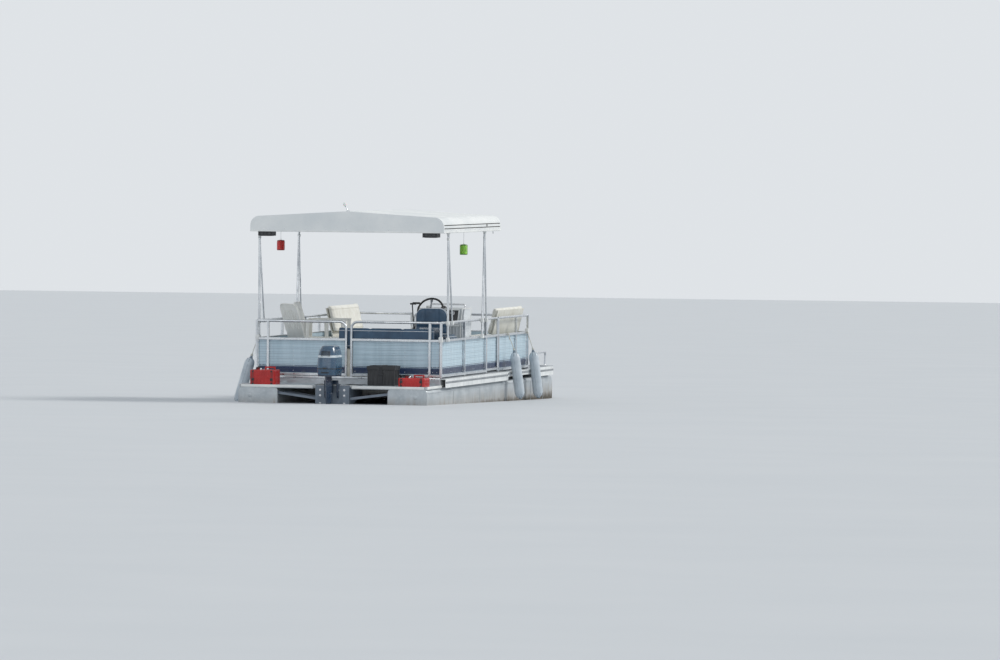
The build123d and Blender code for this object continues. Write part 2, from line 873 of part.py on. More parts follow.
# Hard top: a shallow gable with round shoulders, hollow and open below
roof_rear_y = stern_y - roof_overhang
roof_front_y = roof_rear_y + roof_length
eave_z = deck_z + roof_height
roof_half_width = hull_half_width + roof_side_overhang
with BuildPart() as roof_shell:
    with BuildSketch(Plane.XZ.offset(-roof_front_y)) as outline:
        Polygon(
            (-roof_half_width, eave_z), (roof_half_width, eave_z),
            (roof_half_width, eave_z + roof_shoulder), (0, eave_z + roof_ridge),
            (-roof_half_width, eave_z + roof_shoulder), align=None,
        )
        fillet(outline.vertices().group_by(Axis.Y)[1], radius=roof_shoulder_radius)
    extrude(amount=roof_length)
    with BuildSketch(Plane.XZ.offset(-(roof_front_y - roof_skin))) as hollow:
        inner = roof_half_width - roof_skin
        Polygon(
            (-inner, eave_z), (inner, eave_z), (inner, eave_z + roof_shoulder - roof_skin),
            (0, eave_z + roof_ridge - roof_skin), (-inner, eave_z + roof_shoulder - roof_skin), align=None,
        )
        fillet(hollow.vertices().group_by(Axis.Y)[1], radius=roof_shoulder_radius - roof_skin)
    extrude(amount=roof_length - 2 * roof_skin, mode=Mode.SUBTRACT)
    for side_name, side in sides:
        for rise in roof_groove_heights:
            block(
                (side * (roof_half_width - roof_groove_depth), roof_rear_y + roof_groove_end, eave_z + rise),
                (
                    side * (roof_half_width + roof_groove_depth), roof_front_y - roof_groove_end,
                    eave_z + rise + roof_groove_width,
                ),
                mode=Mode.SUBTRACT,
            )
write(roof_shell, "roof_shell")

# Roof frame: a tube along the inside of each eave and bows across between them
frame_x = roof_half_width - roof_skin - seat_gap
frame_rear_y = roof_rear_y + roof_skin + seat_gap
frame_front_y = roof_front_y - roof_skin - seat_gap
bow_step = (frame_front_y - frame_rear_y - roof_tube) / (roof_bow_count - 1)
bow_x = frame_x - roof_tube - seat_gap
with BuildPart() as roof_frame:
    for side_name, side in sides:
        block(
            (side * frame_x, frame_rear_y, eave_z),
            (side * (frame_x - roof_tube), frame_front_y, eave_z + roof_tube),
        )
    for row in range(roof_bow_count):
        y = frame_rear_y + row * bow_step
        block((-bow_x, y, eave_z), (bow_x, y + roof_tube, eave_z + roof_tube))
write(roof_frame, "roof_frame")

# Poles: a main pole and a thin brace at each corner, clamped to the top rail
pole_x = hull_half_width + pole_offset
pole_rows = ((pole_rear_station, 0), (pole_front_station, pole_front_lean))
with BuildPart() as poles:
    for side_name, side in sides:
        for station, lean in pole_rows:
            foot = (side * pole_x, stern_y + station, deck_z + mid_rail_height - post_size)
            head = (side * pole_x, stern_y + station + lean, eave_z)
            brace_foot_y = stern_y + station + brace_spread
            bar(
                (side * pole_x, brace_foot_y, deck_z + top_rail_z),
                (side * pole_x, stern_y + station + lean, eave_z - brace_drop), brace_dia,
            )
            bar(foot, head, pole_dia + 2 * seat_gap, mode=Mode.SUBTRACT)
            bar(foot, head, pole_dia)
            for y, z in (
                (stern_y + station, deck_z + mid_rail_height - post_size),
                (stern_y + station, deck_z + fence_height - clamp_height),
                (brace_foot_y, deck_z + fence_height - clamp_height),
            ):
                block(
                    (side * (hull_half_width + seat_gap), y - clamp_length / 2, z),
                    (side * (pole_x + pole_dia / 2 + clamp_wall), y + clamp_length / 2, z + clamp_height),
                )
    block((-channel_outer, aft_y, eave_z), (channel_outer, bow_y, eave_z + cut_margin), mode=Mode.SUBTRACT)
write(poles, "roof_poles")

# Stern light on the ridge, leaning as it is stowed
ridge_z = eave_z + roof_ridge
light_y = roof_rear_y + light_station
with BuildPart() as stern_light:
    bar((0, light_y, ridge_z), (0, light_y, ridge_z + light_base_height), light_base_dia)
    bar((0, light_y, ridge_z), (-light_lean, light_y, ridge_z + light_rise), light_stalk_dia)
    with Locations((-light_lean, light_y, ridge_z + light_rise)):
        Sphere(light_ball_dia / 2)
write(stern_light, "stern_light")

with BuildPart() as speakers:
    for side_name, side in sides:
        low_x = side * (roof_half_width - speaker_inset) - speaker_width / 2
        block(
            (low_x, roof_rear_y + roof_skin, eave_z - speaker_height),
            (low_x + speaker_width, roof_rear_y + roof_skin + speaker_depth, eave_z),
        )
write(speakers, "speakers")

for name, side, inset, drop in lanterns:
    x, y = side * (roof_half_width - inset), stern_y + lantern_station
    top = eave_z - drop
    with BuildPart() as lantern:
        bar((x, y, top - lantern_height), (x, y, top), lantern_dia)
        chamfer(lantern.edges().group_by(Axis.Z)[-1], length=lantern_dia / 8)
        bar((x, y, top), (x, y, eave_z), lantern_wire)
    write(lantern, name)

# Steering wheel on a raked column
console_x = hull_half_width - console_inset
console_y = stern_y + console_station
console_top = deck_z + console_height
wheel_y = console_y - wheel_reach
wheel_z = deck_z + wheel_height
wheel_axis = Vector(0, cos(radians(wheel_tilt)), -sin(radians(wheel_tilt)))
wheel_centre = Vector(console_x - wheel_offset, wheel_y, wheel_z)
wheel_plane = Plane(origin=wheel_centre, x_dir=(1, 0, 0), z_dir=-wheel_axis)
with BuildPart() as steering_wheel:
    with Locations(wheel_plane):
        Torus(wheel_dia / 2 - wheel_rim / 2, wheel_rim / 2)
        Cylinder(wheel_hub_dia / 2, wheel_hub_depth)
    for spoke in range(spoke_count):
        turn = radians(90 + 180 / spoke_count + 360 / spoke_count * spoke)
        reach = wheel_dia / 2 - wheel_rim / 2
        tip = wheel_plane.from_local_coords(Vector(reach * cos(turn), reach * sin(turn), 0))
        bar(tuple(wheel_centre), tuple(tip), spoke_dia)
write(steering_wheel, "steering_wheel")

# Helm console: hollow and open to the bow, with a sloping dash and the wheel's column
column_start = wheel_centre + wheel_axis * (wheel_hub_depth / 2 + seat_gap)
column_end = wheel_centre + wheel_axis * (wheel_reach + dash_depth) * column_reach
with BuildPart() as console:
    with BuildSketch(Plane.YZ.offset(console_x - console_width / 2)):
        Polygon(
            (console_y, deck_z), (console_y + console_depth, deck_z),
            (console_y + console_depth, console_top), (console_y + dash_depth, console_top),
            (console_y, console_top - dash_height), align=None,
        )
    extrude(amount=console_width)
    with BuildSketch(Plane.YZ.offset(console_x - console_width / 2 + console_wall)):
        Polygon(
            (console_y + console_wall, deck_z), (console_y + console_depth, deck_z),
            (console_y + console_depth, console_top - console_wall),
            (console_y + dash_depth + console_wall, console_top - console_wall),
            (console_y + console_wall, console_top - dash_height - console_wall), align=None,
        )
    extrude(amount=console_width - 2 * console_wall, mode=Mode.SUBTRACT)
    bar(tuple(column_start), tuple(column_end), column_dia)
write(console, "console")

# Throttle: a box on the console's side, a lever and its cross handle
throttle_x = console_x - console_width / 2
throttle_low_z = console_top - dash_height - throttle_depth
lever_x = throttle_x - throttle_width - lever_gap - lever_dia / 2
lever_y = console_y + throttle_setback + lever_boss_dia / 2
lever_low = (lever_x, lever_y, throttle_low_z + throttle_depth / 2)
lever_high = (lever_x, console_y - lever_reach, deck_z + throttle_top)
with BuildPart() as throttle:
    block(
        (throttle_x - throttle_width, console_y + throttle_setback, throttle_low_z),
        (throttle_x, console_y + throttle_setback + throttle_length, throttle_low_z + throttle_depth),
    )
    bar(
        (throttle_x - throttle_width, lever_y, lever_low[2]), (lever_x - lever_dia, lever_y, lever_low[2]),
        lever_boss_dia,
    )
    bar(lever_low, lever_high, lever_dia)
    with BuildSketch(Plane.YZ.offset(lever_x - lever_handle / 3)):
        with Locations((lever_high[1], lever_high[2])):
            Circle(handle_dia / 2)
    extrude(amount=lever_handle)
write(throttle, "throttle")

# Helm seat on a pedestal
helm_x = hull_half_width - helm_inset
helm_y = stern_y + helm_station
helm_seat_z = deck_z + helm_seat_top
seat_y = helm_y + helm_back_thickness + helm_depth / 2
with BuildPart() as helm_pedestal:
    plate_top = helm_seat_z - helm_cushion - seat_gap
    bar((helm_x, seat_y, deck_z), (helm_x, seat_y, deck_z + plate_thickness), pedestal_base_dia)
    bar((helm_x, seat_y, deck_z), (helm_x, seat_y, plate_top), pedestal_dia)
    block(
        (helm_x - helm_width / 3, helm_y - plate_thickness, plate_top - plate_thickness),
        (helm_x + helm_width / 3, seat_y + helm_depth / 3, plate_top),
    )
    block(
        (helm_x - helm_width / 3, helm_y - plate_thickness, plate_top - plate_thickness),
        (helm_x + helm_width / 3, helm_y - seat_gap, helm_seat_z + helm_cushion),
    )
write(helm_pedestal, "helm_pedestal")

with BuildPart() as helm_seat:
    with BuildSketch(Plane.XY.offset(helm_seat_z - helm_cushion)):
        with Locations((helm_x, seat_y)):
            RectangleRounded(helm_width, helm_depth, cushion_corner * 2)
    extrude(amount=helm_cushion)
    with BuildSketch(Plane.XZ.offset(-(helm_y + helm_back_thickness))) as back:
        back_low = helm_seat_z + seat_gap
        back_height = deck_z + helm_back_top - back_low
        with Locations((helm_x, back_low + back_height / 2)):
            Rectangle(helm_width, back_height)
        fillet(back.vertices().group_by(Axis.Y)[-1], radius=helm_back_corner)
    extrude(amount=helm_back_thickness)
write(helm_seat, "helm_seat")

# Bow benches: a hollow base with a leaning back board, a seat that lifts as its lid and a back cushion
bench_high_y = fence_front_y - bench_front_gap
bench_low_y = bench_high_y - bench_length
bench_base_z = deck_z + bench_base_height
bench_seat_z = bench_base_z + seat_gap + bench_cushion
bench_back_z = deck_z + bench_back_top
bench_outer = corner_x - rib_depth - panel_skin - bench_clearance
bench_hinge_x = bench_outer - bench_lean - bench_board - bench_back_thickness - seat_gap
bench_front_x = bench_hinge_x - bench_seat_depth
lid_pivot_x = bench_hinge_x + hinge_dia / 2 + lid_gap
lid_pivot_z = bench_seat_z - hinge_dia / 2
lid_hinge_ys = (bench_low_y + lid_hinge_inset, bench_high_y - lid_hinge_inset - 2 * hinge_height)


def board_face(z):
    """Distance of the back board's front face from the centreline at a height."""
    return bench_outer - bench_board - bench_lean * (bench_back_z - z) / (bench_back_z - bench_base_z)


with BuildPart() as bench_bases:
    for side_name, side in sides:
        board_z = bench_back_z - bench_board_drop
        with BuildSketch(Plane.XZ.offset(-bench_high_y)):
            Polygon(
                (side * (bench_front_x + bench_toe), deck_z),
                (side * (board_face(bench_base_z) + bench_board), deck_z),
                (side * (board_face(bench_base_z) + bench_board), bench_base_z),
                (side * (board_face(board_z) + bench_board), board_z),
                (side * board_face(board_z), board_z),
                (side * board_face(bench_base_z), bench_base_z),
                (side * (bench_front_x + bench_toe), bench_base_z),
                align=None,
            )
        extrude(amount=bench_length)
        store_x = bench_front_x + bench_toe + bench_wall
        for back_x, top in (
            (board_face(bench_base_z) - bench_wall, bench_base_z - bench_wall),
            (bench_hinge_x - bench_wall, bench_base_z),
        ):
            block(
                (side * store_x, bench_low_y + bench_wall, deck_z),
                (side * back_x, bench_high_y - bench_wall, top), mode=Mode.SUBTRACT,
            )
        for low_y in lid_hinge_ys:
            block(
                (side * (lid_pivot_x - lid_post / 2), low_y, bench_base_z),
                (side * (lid_pivot_x + lid_post / 2), low_y + hinge_height, lid_pivot_z),
            )
            for length, dia in ((hinge_height, hinge_dia), (2 * hinge_height, hinge_pin_dia)):
                bar(
                    (side * lid_pivot_x, low_y, lid_pivot_z),
                    (side * lid_pivot_x, low_y + length, lid_pivot_z), dia,
                )
write(bench_bases, "bench_bases")

for side_name, side in sides:
    with BuildPart() as bench_seat:
        block(
            (side * bench_front_x, bench_low_y, bench_base_z + seat_gap),
            (side * bench_hinge_x, bench_high_y, bench_seat_z),
        )
        fillet(bench_seat.edges().filter_by(Axis.Z), radius=cushion_corner)
        for low_y in lid_hinge_ys:
            start_y = low_y + hinge_height + knuckle_gap
            start = (side * lid_pivot_x, start_y, lid_pivot_z)
            end = (side * lid_pivot_x, start_y + hinge_height, lid_pivot_z)
            bar(start, end, hinge_dia)
            block(
                (side * (bench_hinge_x - hinge_leaf), start_y, lid_pivot_z - hinge_leaf),
                (side * lid_pivot_x, start_y + hinge_height, lid_pivot_z + hinge_dia / 2),
            )
            bar(start, end, hinge_pin_dia + 2 * pin_clearance, mode=Mode.SUBTRACT)
    write(bench_seat, f"bench_seat_{side_name}")

with BuildPart() as bench_backs:
    for side_name, side in sides:
        back_low = bench_seat_z + bench_back_gap
        with BuildSketch(Plane.XZ.offset(-bench_high_y)):
            Polygon(
                (side * (board_face(back_low) - seat_gap), back_low),
                (side * (board_face(bench_back_z) - seat_gap), bench_back_z),
                (side * (board_face(bench_back_z) - seat_gap - bench_back_thickness), bench_back_z),
                (side * (board_face(back_low) - seat_gap - bench_back_thickness), back_low), align=None,
            )
        extrude(amount=bench_length)
write(bench_backs, "bench_backs")

# Stern bench along the rear fence
stern_bench_high_x = hull_half_width - stern_bench_inset
bench_rear_y = stern_y + stern_bench_gap
stern_base_z = deck_z + stern_bench_base
stern_cushion_z = stern_base_z + seat_gap
with BuildPart() as stern_bench_box:
    block(
        (stern_bench_low_x, bench_rear_y, deck_z),
        (stern_bench_high_x, bench_rear_y + stern_bench_depth, stern_base_z),
    )
write(stern_bench_box, "stern_bench_base")
with BuildPart() as stern_bench_cushions:
    block(
        (stern_bench_low_x, bench_rear_y, stern_cushion_z),
        (stern_bench_high_x, bench_rear_y + stern_bench_back, deck_z + stern_bench_top),
    )
    block(
        (stern_bench_low_x, bench_rear_y + stern_bench_back + seat_gap, stern_cushion_z),
        (stern_bench_high_x, bench_rear_y + stern_bench_depth, stern_cushion_z + stern_bench_cushion),
    )
write(stern_bench_cushions, "stern_bench_cushions")

# Armchairs: moulded seat, leaning back, arms and four legs, made once and placed twice
half_chair = chair_width / 2
chair_rear = -chair_depth / 2
chair_front = chair_depth / 2
chair_inner = half_chair - chair_leg
with BuildPart() as chair:
    with BuildSketch(Plane.XY.offset(chair_seat_height - chair_seat_thickness)):
        RectangleRounded(2 * chair_inner + chair_leg, chair_depth, chair_corner)
    extrude(amount=chair_seat_thickness)
    block(
        (-chair_inner, chair_front - chair_lip, chair_seat_height - chair_lip),
        (chair_inner, chair_front - chair_lip + chair_seat_thickness, chair_seat_height - chair_seat_thickness / 2),
    )
    for side_name, side in sides:
        for end, splay in ((chair_rear + chair_leg / 2, -chair_splay), (chair_front - chair_leg / 2, chair_splay)):
            for z, size, lean in ((0, chair_foot, 1), (chair_arm_height - chair_arm_thickness / 2, chair_leg, 0)):
                with BuildSketch(Plane.XY.offset(z)):
                    with Locations((side * (half_chair - size / 2), end + splay * lean)):
                        RectangleRounded(size, size, size / 4)
            loft()
        with BuildSketch(Plane.XY.offset(chair_arm_height - chair_arm_thickness)):
            with Locations((side * (half_chair - chair_arm_width / 2), 0)):
                RectangleRounded(chair_arm_width, chair_depth + chair_splay, chair_arm_width / 2.5)
        extrude(amount=chair_arm_thickness)
    back_rise = chair_back_height - chair_seat_height + chair_seat_thickness
    back_slope = sqrt(back_rise ** 2 + chair_back_lean ** 2)
    back_plane = Plane(
        origin=(0, chair_rear, chair_seat_height - chair_seat_thickness),
        x_dir=(-1, 0, 0), z_dir=(0, back_rise, chair_back_lean),
    )
    with BuildSketch(back_plane):
        with Locations((0, back_slope / 2)):
            RectangleRounded(2 * chair_inner + chair_leg, back_slope, chair_back_corner)
        with Locations((0, chair_back_corner)):
            Rectangle(2 * chair_inner + chair_leg, 2 * chair_back_corner)
        with Locations((0, back_slope / 2 + chair_slot_shift)):
            with GridLocations(chair_slot_pitch, 1, chair_slots, 1):
                SlotOverall(back_slope * chair_slot_share, chair_slot_width, rotation=90, mode=Mode.SUBTRACT)
    extrude(amount=chair_back_thickness)
for name, inset, station, turn in armchairs:
    ahead = radians(turn)
    place = Plane(
        origin=(inset - hull_half_width, stern_y + station, deck_z),
        x_dir=(cos(ahead), -sin(ahead), 0), z_dir=(0, 0, 1),
    )
    with BuildPart() as placed_chair:
        with Locations(place):
            add(chair.part)
    write(placed_chair, name)

# Fuel tanks and battery box on the stern platform
for name, side, inset, station, width, depth, height in fuel_tanks:
    x, y = side * (hull_half_width - inset), stern_y + station
    top = platform_top + height
    with BuildPart() as tank:
        with BuildSketch(Plane.XY.offset(platform_top)):
            with Locations((x, y)):
                RectangleRounded(width, depth, tank_corner)
        extrude(amount=height)
        fillet(tank.faces().sort_by(Axis.Z)[-1].edges(), radius=tank_corner / 2)
        bar((x - width / 4, y, top), (x - width / 4, y, top + tank_cap_height), tank_cap_dia)
        handle_low, handle_high = x, x + tank_handle_length
        block(
            (handle_low, y - tank_handle_thickness / 2, top),
            (handle_high, y + tank_handle_thickness / 2, top + tank_handle_height),
        )
        block(
            (handle_low + tank_handle_thickness, y - tank_handle_thickness, top),
            (handle_high - tank_handle_thickness, y + tank_handle_thickness, top + tank_handle_height / 2),
            mode=Mode.SUBTRACT,
        )
    write(tank, name)

battery_x = hull_half_width - battery_inset
battery_y = stern_y + battery_station
with BuildPart() as battery_box:
    battery_top = platform_top + battery_height
    for inset, low in ((battery_overlap, platform_top), (0, battery_top - battery_lid)):
        half_width, half_depth = battery_width / 2 - inset, battery_depth / 2 - inset
        block(
            (battery_x - half_width, battery_y - half_depth, low),
            (battery_x + half_width, battery_y + half_depth, battery_top),
        )
write(battery_box, "battery_box")

# Low rails on the bow deck and cleats at the deck's corners
bow_rail_fore_y = bow_y - bow_rail_setback
bow_rail_aft_y = bow_rail_fore_y - bow_rail_length
with BuildPart() as bow_rails:
    for side_name, side in sides:
        x = side * (hull_half_width - bow_rail_inset)
        z = deck_z + bow_rail_height - bow_rail_dia / 2
        bent_tube(
            (
                (x, bow_rail_aft_y + bow_rail_rake, deck_z), (x, bow_rail_aft_y, z),
                (x, bow_rail_fore_y, z), (x, bow_rail_fore_y - bow_rail_inset, deck_z),
            ),
            bow_rail_radius, bow_rail_dia,
        )
    block(
        (-hull_half_width, fence_front_y, deck_z - bow_rail_dia), (hull_half_width, bow_y, deck_z),
        mode=Mode.SUBTRACT,
    )
write(bow_rails, "bow_rails")

with BuildPart() as cleats:
    for side_name, side in sides:
        x, y = side * (channel_inner - cleat_inset), bow_y - cleat_setback
        top = deck_z + cleat_height
        block((x - cleat_dia / 2, y - cleat_base / 2, deck_z), (x + cleat_dia / 2, y + cleat_base / 2, top))
        bar((x, y - cleat_length / 2, top), (x, y + cleat_length / 2, top), cleat_dia)
write(cleats, "cleats")

# Fenders hang by a rope, knotted on the middle rail, and ride out on the hull
knot_x = hull_half_width - rail_inset + half_post + seat_gap
knot_z = deck_z + mid_rail_height - half_post
for name, side, top_reach, foot_reach, station, top in fenders:
    y = stern_y + station
    head = Vector(side * (hull_half_width + top_reach), y, deck_z + top)
    down = Vector(side * (foot_reach - top_reach), 0, -fender_length).normalized()
    shoulder = head + down * fender_dia / 2
    foot = head + down * (fender_length - fender_dia / 2)
    with BuildPart() as fender:
        bar(tuple(shoulder), tuple(foot), fender_dia)
        with Locations(shoulder, foot):
            Sphere(fender_dia / 2)
        bar(tuple(head - down * fender_eye_rise), tuple(shoulder), fender_eye_dia)
        bar((side * knot_x, y, knot_z), (side * (knot_x + knot_length), y, knot_z), knot_dia)
        bar(tuple(head), (side * (knot_x + knot_length / 2), y, knot_z), rope_dia)
    write(fender, name)
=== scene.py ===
import math
import bmesh
import bpy
from mathutils import Matrix, Vector, noise
from mathutils.bvhtree import BVHTree


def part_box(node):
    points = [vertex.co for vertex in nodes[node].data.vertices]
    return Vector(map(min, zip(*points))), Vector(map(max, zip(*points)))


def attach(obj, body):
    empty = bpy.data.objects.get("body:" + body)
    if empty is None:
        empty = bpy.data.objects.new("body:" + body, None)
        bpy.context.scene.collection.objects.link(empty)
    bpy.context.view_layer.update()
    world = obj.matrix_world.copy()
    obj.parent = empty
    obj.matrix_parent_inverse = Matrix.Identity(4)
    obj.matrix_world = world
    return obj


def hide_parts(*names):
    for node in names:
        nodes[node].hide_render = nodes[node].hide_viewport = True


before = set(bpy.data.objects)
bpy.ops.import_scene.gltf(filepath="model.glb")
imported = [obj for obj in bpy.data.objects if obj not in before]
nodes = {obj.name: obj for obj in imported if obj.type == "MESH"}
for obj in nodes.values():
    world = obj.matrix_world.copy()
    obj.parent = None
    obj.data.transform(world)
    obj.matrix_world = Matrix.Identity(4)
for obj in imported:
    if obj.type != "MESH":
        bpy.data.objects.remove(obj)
bpy.context.scene.view_settings.view_transform = "Standard"
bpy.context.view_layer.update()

# The photograph's camera, in metres and degrees in the boat's frame
camera_place = (23.8296, -83.4108, 3.4001)
camera_yaw, camera_drop, camera_roll = 15.194, 1.668, 0.422
camera_lens, camera_sensor = 252, 36
view_reach = 400
bow_rise = 1.2
floor_half = 350

# Ways in the boat's frame, the two sides and the edges' smoothing limit
X, Y, Z = Vector((1, 0, 0)), Vector((0, 1, 0)), Vector((0, 0, 1))
sides = (("port", -1), ("starboard", 1))
both = (-1, 1)
sharp_from = math.radians(35)

# Places read from the frame, in metres
deck_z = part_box("deck")[1].z
eave_z, ridge_z = (corner.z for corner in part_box("roof_shell"))
stern_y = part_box("rails_rear")[0].y
fence_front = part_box("rails_front")[1].y
fence_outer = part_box("rails_starboard")[1].x
bow_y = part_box("deck")[1].y
aft_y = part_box("stern_platform")[0].y
nose_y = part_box("pontoon_port")[1].y
pontoon_low, pontoon_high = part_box("pontoon_starboard")
channel_low, channel_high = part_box("side_channels")
roof_low, roof_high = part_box("roof_shell")
cowl_low, cowl_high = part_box("motor_cowl")
console_low, console_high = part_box("console")
wheel_low, wheel_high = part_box("steering_wheel")
wheel_centre = (wheel_low + wheel_high) / 2
wheel_rake = math.radians(30)
wheel_axis = Vector((0, math.cos(wheel_rake), -math.sin(wheel_rake)))
mid_rail_z = deck_z + 0.462
side_posts = tuple(stern_y + station for station in (0.013, 1.050, 2.030, 2.620, 3.456, 4.027))


# Mesh helpers
def circle(centre, first, second, count):
    """Points round a circle or oval: the two vectors are its half axes."""
    turns = (math.tau * k / count for k in range(count))
    return [Vector(centre) + first * math.cos(turn) + second * math.sin(turn) for turn in turns]


def rounded_outline(low, high, upper, lower, steps):
    """Pairs round a rectangle from its upper right corner on; upper and lower are the corners' radii."""
    (x0, y0), (x1, y1) = low, high
    points = []
    for cx, cy, radius, start in (
        (x1 - upper, y1 - upper, upper, 0), (x0 + upper, y1 - upper, upper, 90),
        (x0 + lower, y0 + lower, lower, 180), (x1 - lower, y0 + lower, lower, 270),
    ):
        for k in range(steps + 1):
            turn = math.radians(start + 90 * k / steps)
            points.append((cx + radius * math.cos(turn), cy + radius * math.sin(turn)))
    return points


def arc_points(points, radius, steps=6):
    """Round the corners of a line of points with arcs."""
    points = [Vector(p) for p in points]
    out = [points[0]]
    for before, corner, after in zip(points, points[1:], points[2:]):
        back, ahead = (before - corner), (after - corner)
        reach = min(radius, 0.45 * back.length, 0.45 * ahead.length)
        start, end = corner + back.normalized() * reach, corner + ahead.normalized() * reach
        for k in range(steps + 1):
            t = k / steps
            out.append(start * (1 - t) ** 2 + corner * 2 * t * (1 - t) + end * t ** 2)
    out.append(points[-1])
    return out


def evenly(low, high, count):
    """Numbers from one end to the other, with both ends."""
    return [low + (high - low) * k / (count - 1) for k in range(count)]


def shares(low, high, parts):
    """Numbers at given shares of the way from one end to the other."""
    return [low + (high - low) * part for part in parts]


def ordered(corner, opposite):
    """The low and the high corner of the box between two opposite corners."""
    return (Vector([pick(pair) for pair in zip(corner, opposite)]) for pick in (min, max))


def linked(verts):
    """All the vertices joined by edges to these."""
    seen, open_ones = set(verts), list(verts)
    while open_ones:
        for edge in open_ones.pop().link_edges:
            for v in edge.verts:
                if v not in seen:
                    seen.add(v)
                    open_ones.append(v)
    return list(seen)


def finish_piece(name, mesh, material, body="boat"):
    """Turn a mesh into a shown piece with its material, riding on a body."""
    mesh.update()
    piece = bpy.data.objects.new(name, mesh)
    bpy.context.scene.collection.objects.link(piece)
    mesh.materials.clear()
    mesh.materials.append(material)
    smooth(mesh)
    mesh.set_sharp_from_angle(angle=sharp_from)
    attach(piece, body)
    return piece


def smooth(mesh):
    """Shade every face of a mesh smooth."""
    for face in mesh.polygons:
        face.use_smooth = True


class Form:
    """A mesh being modelled: short calls add shapes to it, and piece() shows it."""

    def __init__(self):
        self.bm = bmesh.new()

    def join(self, rings, closed=False):
        """Faces between successive rings of points. The end rings are filled, or joined to each other."""
        rings = [[self.bm.verts.new(point) for point in ring] for ring in rings]
        for lower, upper in zip(rings, rings[1:] + rings[:closed]):
            for k in range(len(lower)):
                after = (k + 1) % len(lower)
                self.bm.faces.new((lower[k], lower[after], upper[after], upper[k]))
        if not closed:
            self.bm.faces.new(list(reversed(rings[0])))
            self.bm.faces.new(rings[-1])
        return self

    def box(self, corner, opposite, bevel=0.002, steps=2, turn=None):
        """A box between two opposite corners, with rounded edges; turn is an optional matrix for it."""
        low, high = ordered(corner, opposite)
        place = Matrix.Translation((low + high) / 2) @ Matrix.Diagonal((*(high - low), 1))
        verts = bmesh.ops.create_cube(self.bm, size=1, matrix=place)["verts"]
        edges = list({edge for v in verts for edge in v.link_edges})
        done = bmesh.ops.bevel(self.bm, geom=verts + edges, offset=bevel, segments=steps, profile=0.5,
                               affect="EDGES", clamp_overlap=True)
        if turn is not None:
            kept = {v for face in done["faces"] for v in face.verts} | {v for v in verts if v.is_valid}
            bmesh.ops.transform(self.bm, matrix=turn, verts=linked(kept))
        return self

    def lathe(self, origin, axis, profile, segments=24):
        """A turned form: profile is a list of (radius, height along the axis) from end to end."""
        turn = Vector(axis).normalized().to_track_quat("Z", "Y").to_matrix().to_4x4()
        place = Matrix.Translation(Vector(origin)) @ turn
        rings = []
        for radius, height in profile:
            spots = circle((0, 0, height), X * radius, Y * radius, segments if radius > 1e-6 else 1)
            rings.append([self.bm.verts.new(place @ spot) for spot in spots])
        for lower, upper in zip(rings, rings[1:]):
            for k in range(segments):
                after = (k + 1) % segments
                corners = ((lower, k), (lower, after), (upper, after), (upper, k))
                unique = list(dict.fromkeys(ring[i % len(ring)] for ring, i in corners))
                if len(unique) > 2:
                    self.bm.faces.new(unique)
        for ring in (list(reversed(rings[0])), rings[-1]):
            if len(ring) > 2:
                self.bm.faces.new(ring)
        return self

    def tube(self, points, radius, segments=12, closed=False):
        """A round tube along a line of points."""
        points = [Vector(p) for p in points]
        last, side, rings = len(points) - 1, None, []
        for i, point in enumerate(points):
            if closed:
                run = points[i - last] - points[i - 1]
            else:
                run = points[min(i + 1, last)] - points[max(i - 1, 0)]
            run.normalize()
            if side is None:
                side = run.orthogonal().normalized()
            side = (side - run * side.dot(run)).normalized()
            rings.append(circle(point, side * radius, run.cross(side) * radius, segments))
        return self.join(rings, closed)

    def loop(self, centre, first, second, count, thick, segments=8):
        """A closed ring of round section; the two vectors are its half axes."""
        return self.tube(circle(centre, first, second, count), thick, segments, closed=True)

    def studs(self, spots, axis, dia, height, segments=8):
        """Low domed heads at many places, all facing one way."""
        radius = dia / 2
        head = [(radius, 0), (radius * 0.94, height * 0.5), (radius * 0.6, height * 0.9), (0, height)]
        for spot in spots:
            self.lathe(spot, axis, head, segments)
        return self

    def mesh(self, name):
        """The form as a mesh with its faces turned outwards."""
        bmesh.ops.recalc_face_normals(self.bm, faces=self.bm.faces)
        mesh = bpy.data.meshes.new(name)
        self.bm.to_mesh(mesh)
        self.bm.free()
        return mesh

    def piece(self, name, material, body="boat"):
        """Show the form as a piece riding on a body."""
        return finish_piece(name, self.mesh(name), material, body)


skins = {}


def skin(node):
    """A search tree on a CAD node's own surface, made once for each node."""
    if node not in skins:
        bm = bmesh.new()
        bm.from_mesh(nodes[node].data)
        bm.transform(nodes[node].matrix_world)
        skins[node] = BVHTree.FromBMesh(bm)
        bm.free()
    return skins[node]


def on_skin(node, start, way):
    """Where a ray from a place first meets a CAD node."""
    return skin(node).ray_cast(Vector(start), Vector(way))[0]


